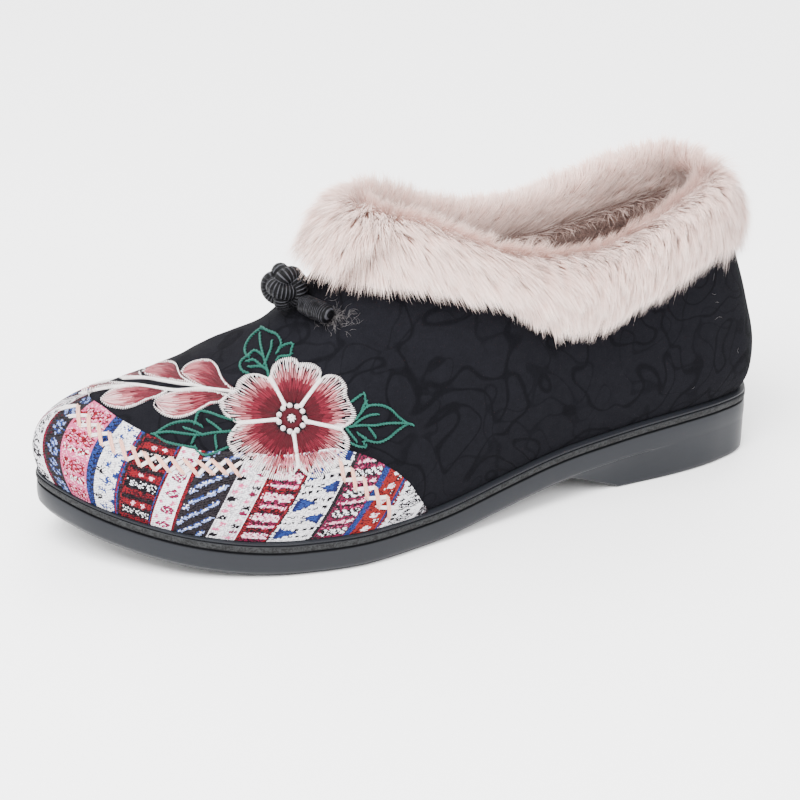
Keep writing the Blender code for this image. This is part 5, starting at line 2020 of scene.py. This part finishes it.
# Stray hairs
# Loose grey hairs of the fur that lie on the cloth beside the knot, and a few of them near the heel.
STRAY_GREY = (0.30, 0.28, 0.28)
STRAY_WIDTH = 0.00007
# middle and spread of a patch in photo pixels, number of hairs, their reach in pixels
STRAY_PATCHES = (
    ((334, 318), (20, 13), 150, 7.0),
    ((700, 320), (50, 70), 8, 6.0),
)


def scatter_strays():
    dice = random.Random(15)
    sewn = new_stitches()
    for middle, spread, count, reach in STRAY_PATCHES:
        for index in range(count):
            foot = Vector((dice.gauss(middle[0], spread[0] / 2), dice.gauss(middle[1], spread[1] / 2)))
            turn = dice.uniform(0.0, 2 * math.pi)
            step = Vector((math.cos(turn), math.sin(turn))) * reach * dice.uniform(0.3, 0.7)
            bend = Vector((-step.y, step.x)) * dice.uniform(-0.6, 0.6)
            pixels = (foot, foot + step + bend, foot + step * 2)
            lay_thread(sewn, pixels, STRAY_WIDTH, varied(STRAY_GREY, dice, 0.3), 3.0, 6, 3)
    return finish_stitches("stray_hairs", sewn)


scatter_strays()

# Floor and lights
# A plain pale floor that runs off to white, large soft lamps, and pale surroundings.
FLOOR_SIZE = 6.0
FLOOR_TONE = (0.965, 0.965, 0.970)
FLOOR_DROP = 0.0002
WORLD_STRENGTH = 1.75

bpy.ops.object.select_all(action="DESELECT")
bpy.ops.mesh.primitive_plane_add(size=FLOOR_SIZE, location=(0.0, 0.0, -FLOOR_DROP))
floor = bpy.context.object
floor.name = "pale_floor"
ground = Finish("pale_floor", 0.65, Specular_IOR_Level=0.25)
haze = ground.noise(3, 2.0, 0.5)
pale = [min(tone * 1.03, 1.0) for tone in FLOOR_TONE]
floor.data.materials.append(ground.feed(Base_Color=ground.blend(haze, FLOOR_TONE, pale)))


def softbox(name, azimuth, elevation, distance, size, watts):
    """A square area lamp that looks at the shoe."""
    angle, height = math.radians(azimuth), math.radians(elevation)
    back = Vector((math.sin(angle) * math.cos(height), -math.cos(angle) * math.cos(height), math.sin(height)))
    light = bpy.data.lights.new(name, "AREA")
    light.shape = "SQUARE"
    light.size = size
    light.energy = watts
    lamp = bpy.data.objects.new(name, light)
    lamp.location = CAMERA_TARGET + back * distance
    lamp.rotation_euler = back.to_track_quat("Z", "Y").to_euler()
    bpy.context.scene.collection.objects.link(lamp)


# name, azimuth and height in degrees, distance and size in metres, power in watts
softbox("key_softbox", 125, 58, 1.6, 1.0, 72)
softbox("front_softbox", 200, 35, 1.8, 1.0, 24)
softbox("heel_softbox", 80, 30, 1.8, 0.8, 18)
softbox("back_softbox", 330, 45, 1.8, 1.2, 30)

world = bpy.data.worlds.new("pale_studio")
world.use_nodes = True
world.node_tree.nodes["Background"].inputs["Color"].default_value = (1.0, 1.0, 1.0, 1.0)
world.node_tree.nodes["Background"].inputs["Strength"].default_value = WORLD_STRENGTH
bpy.context.scene.world = world
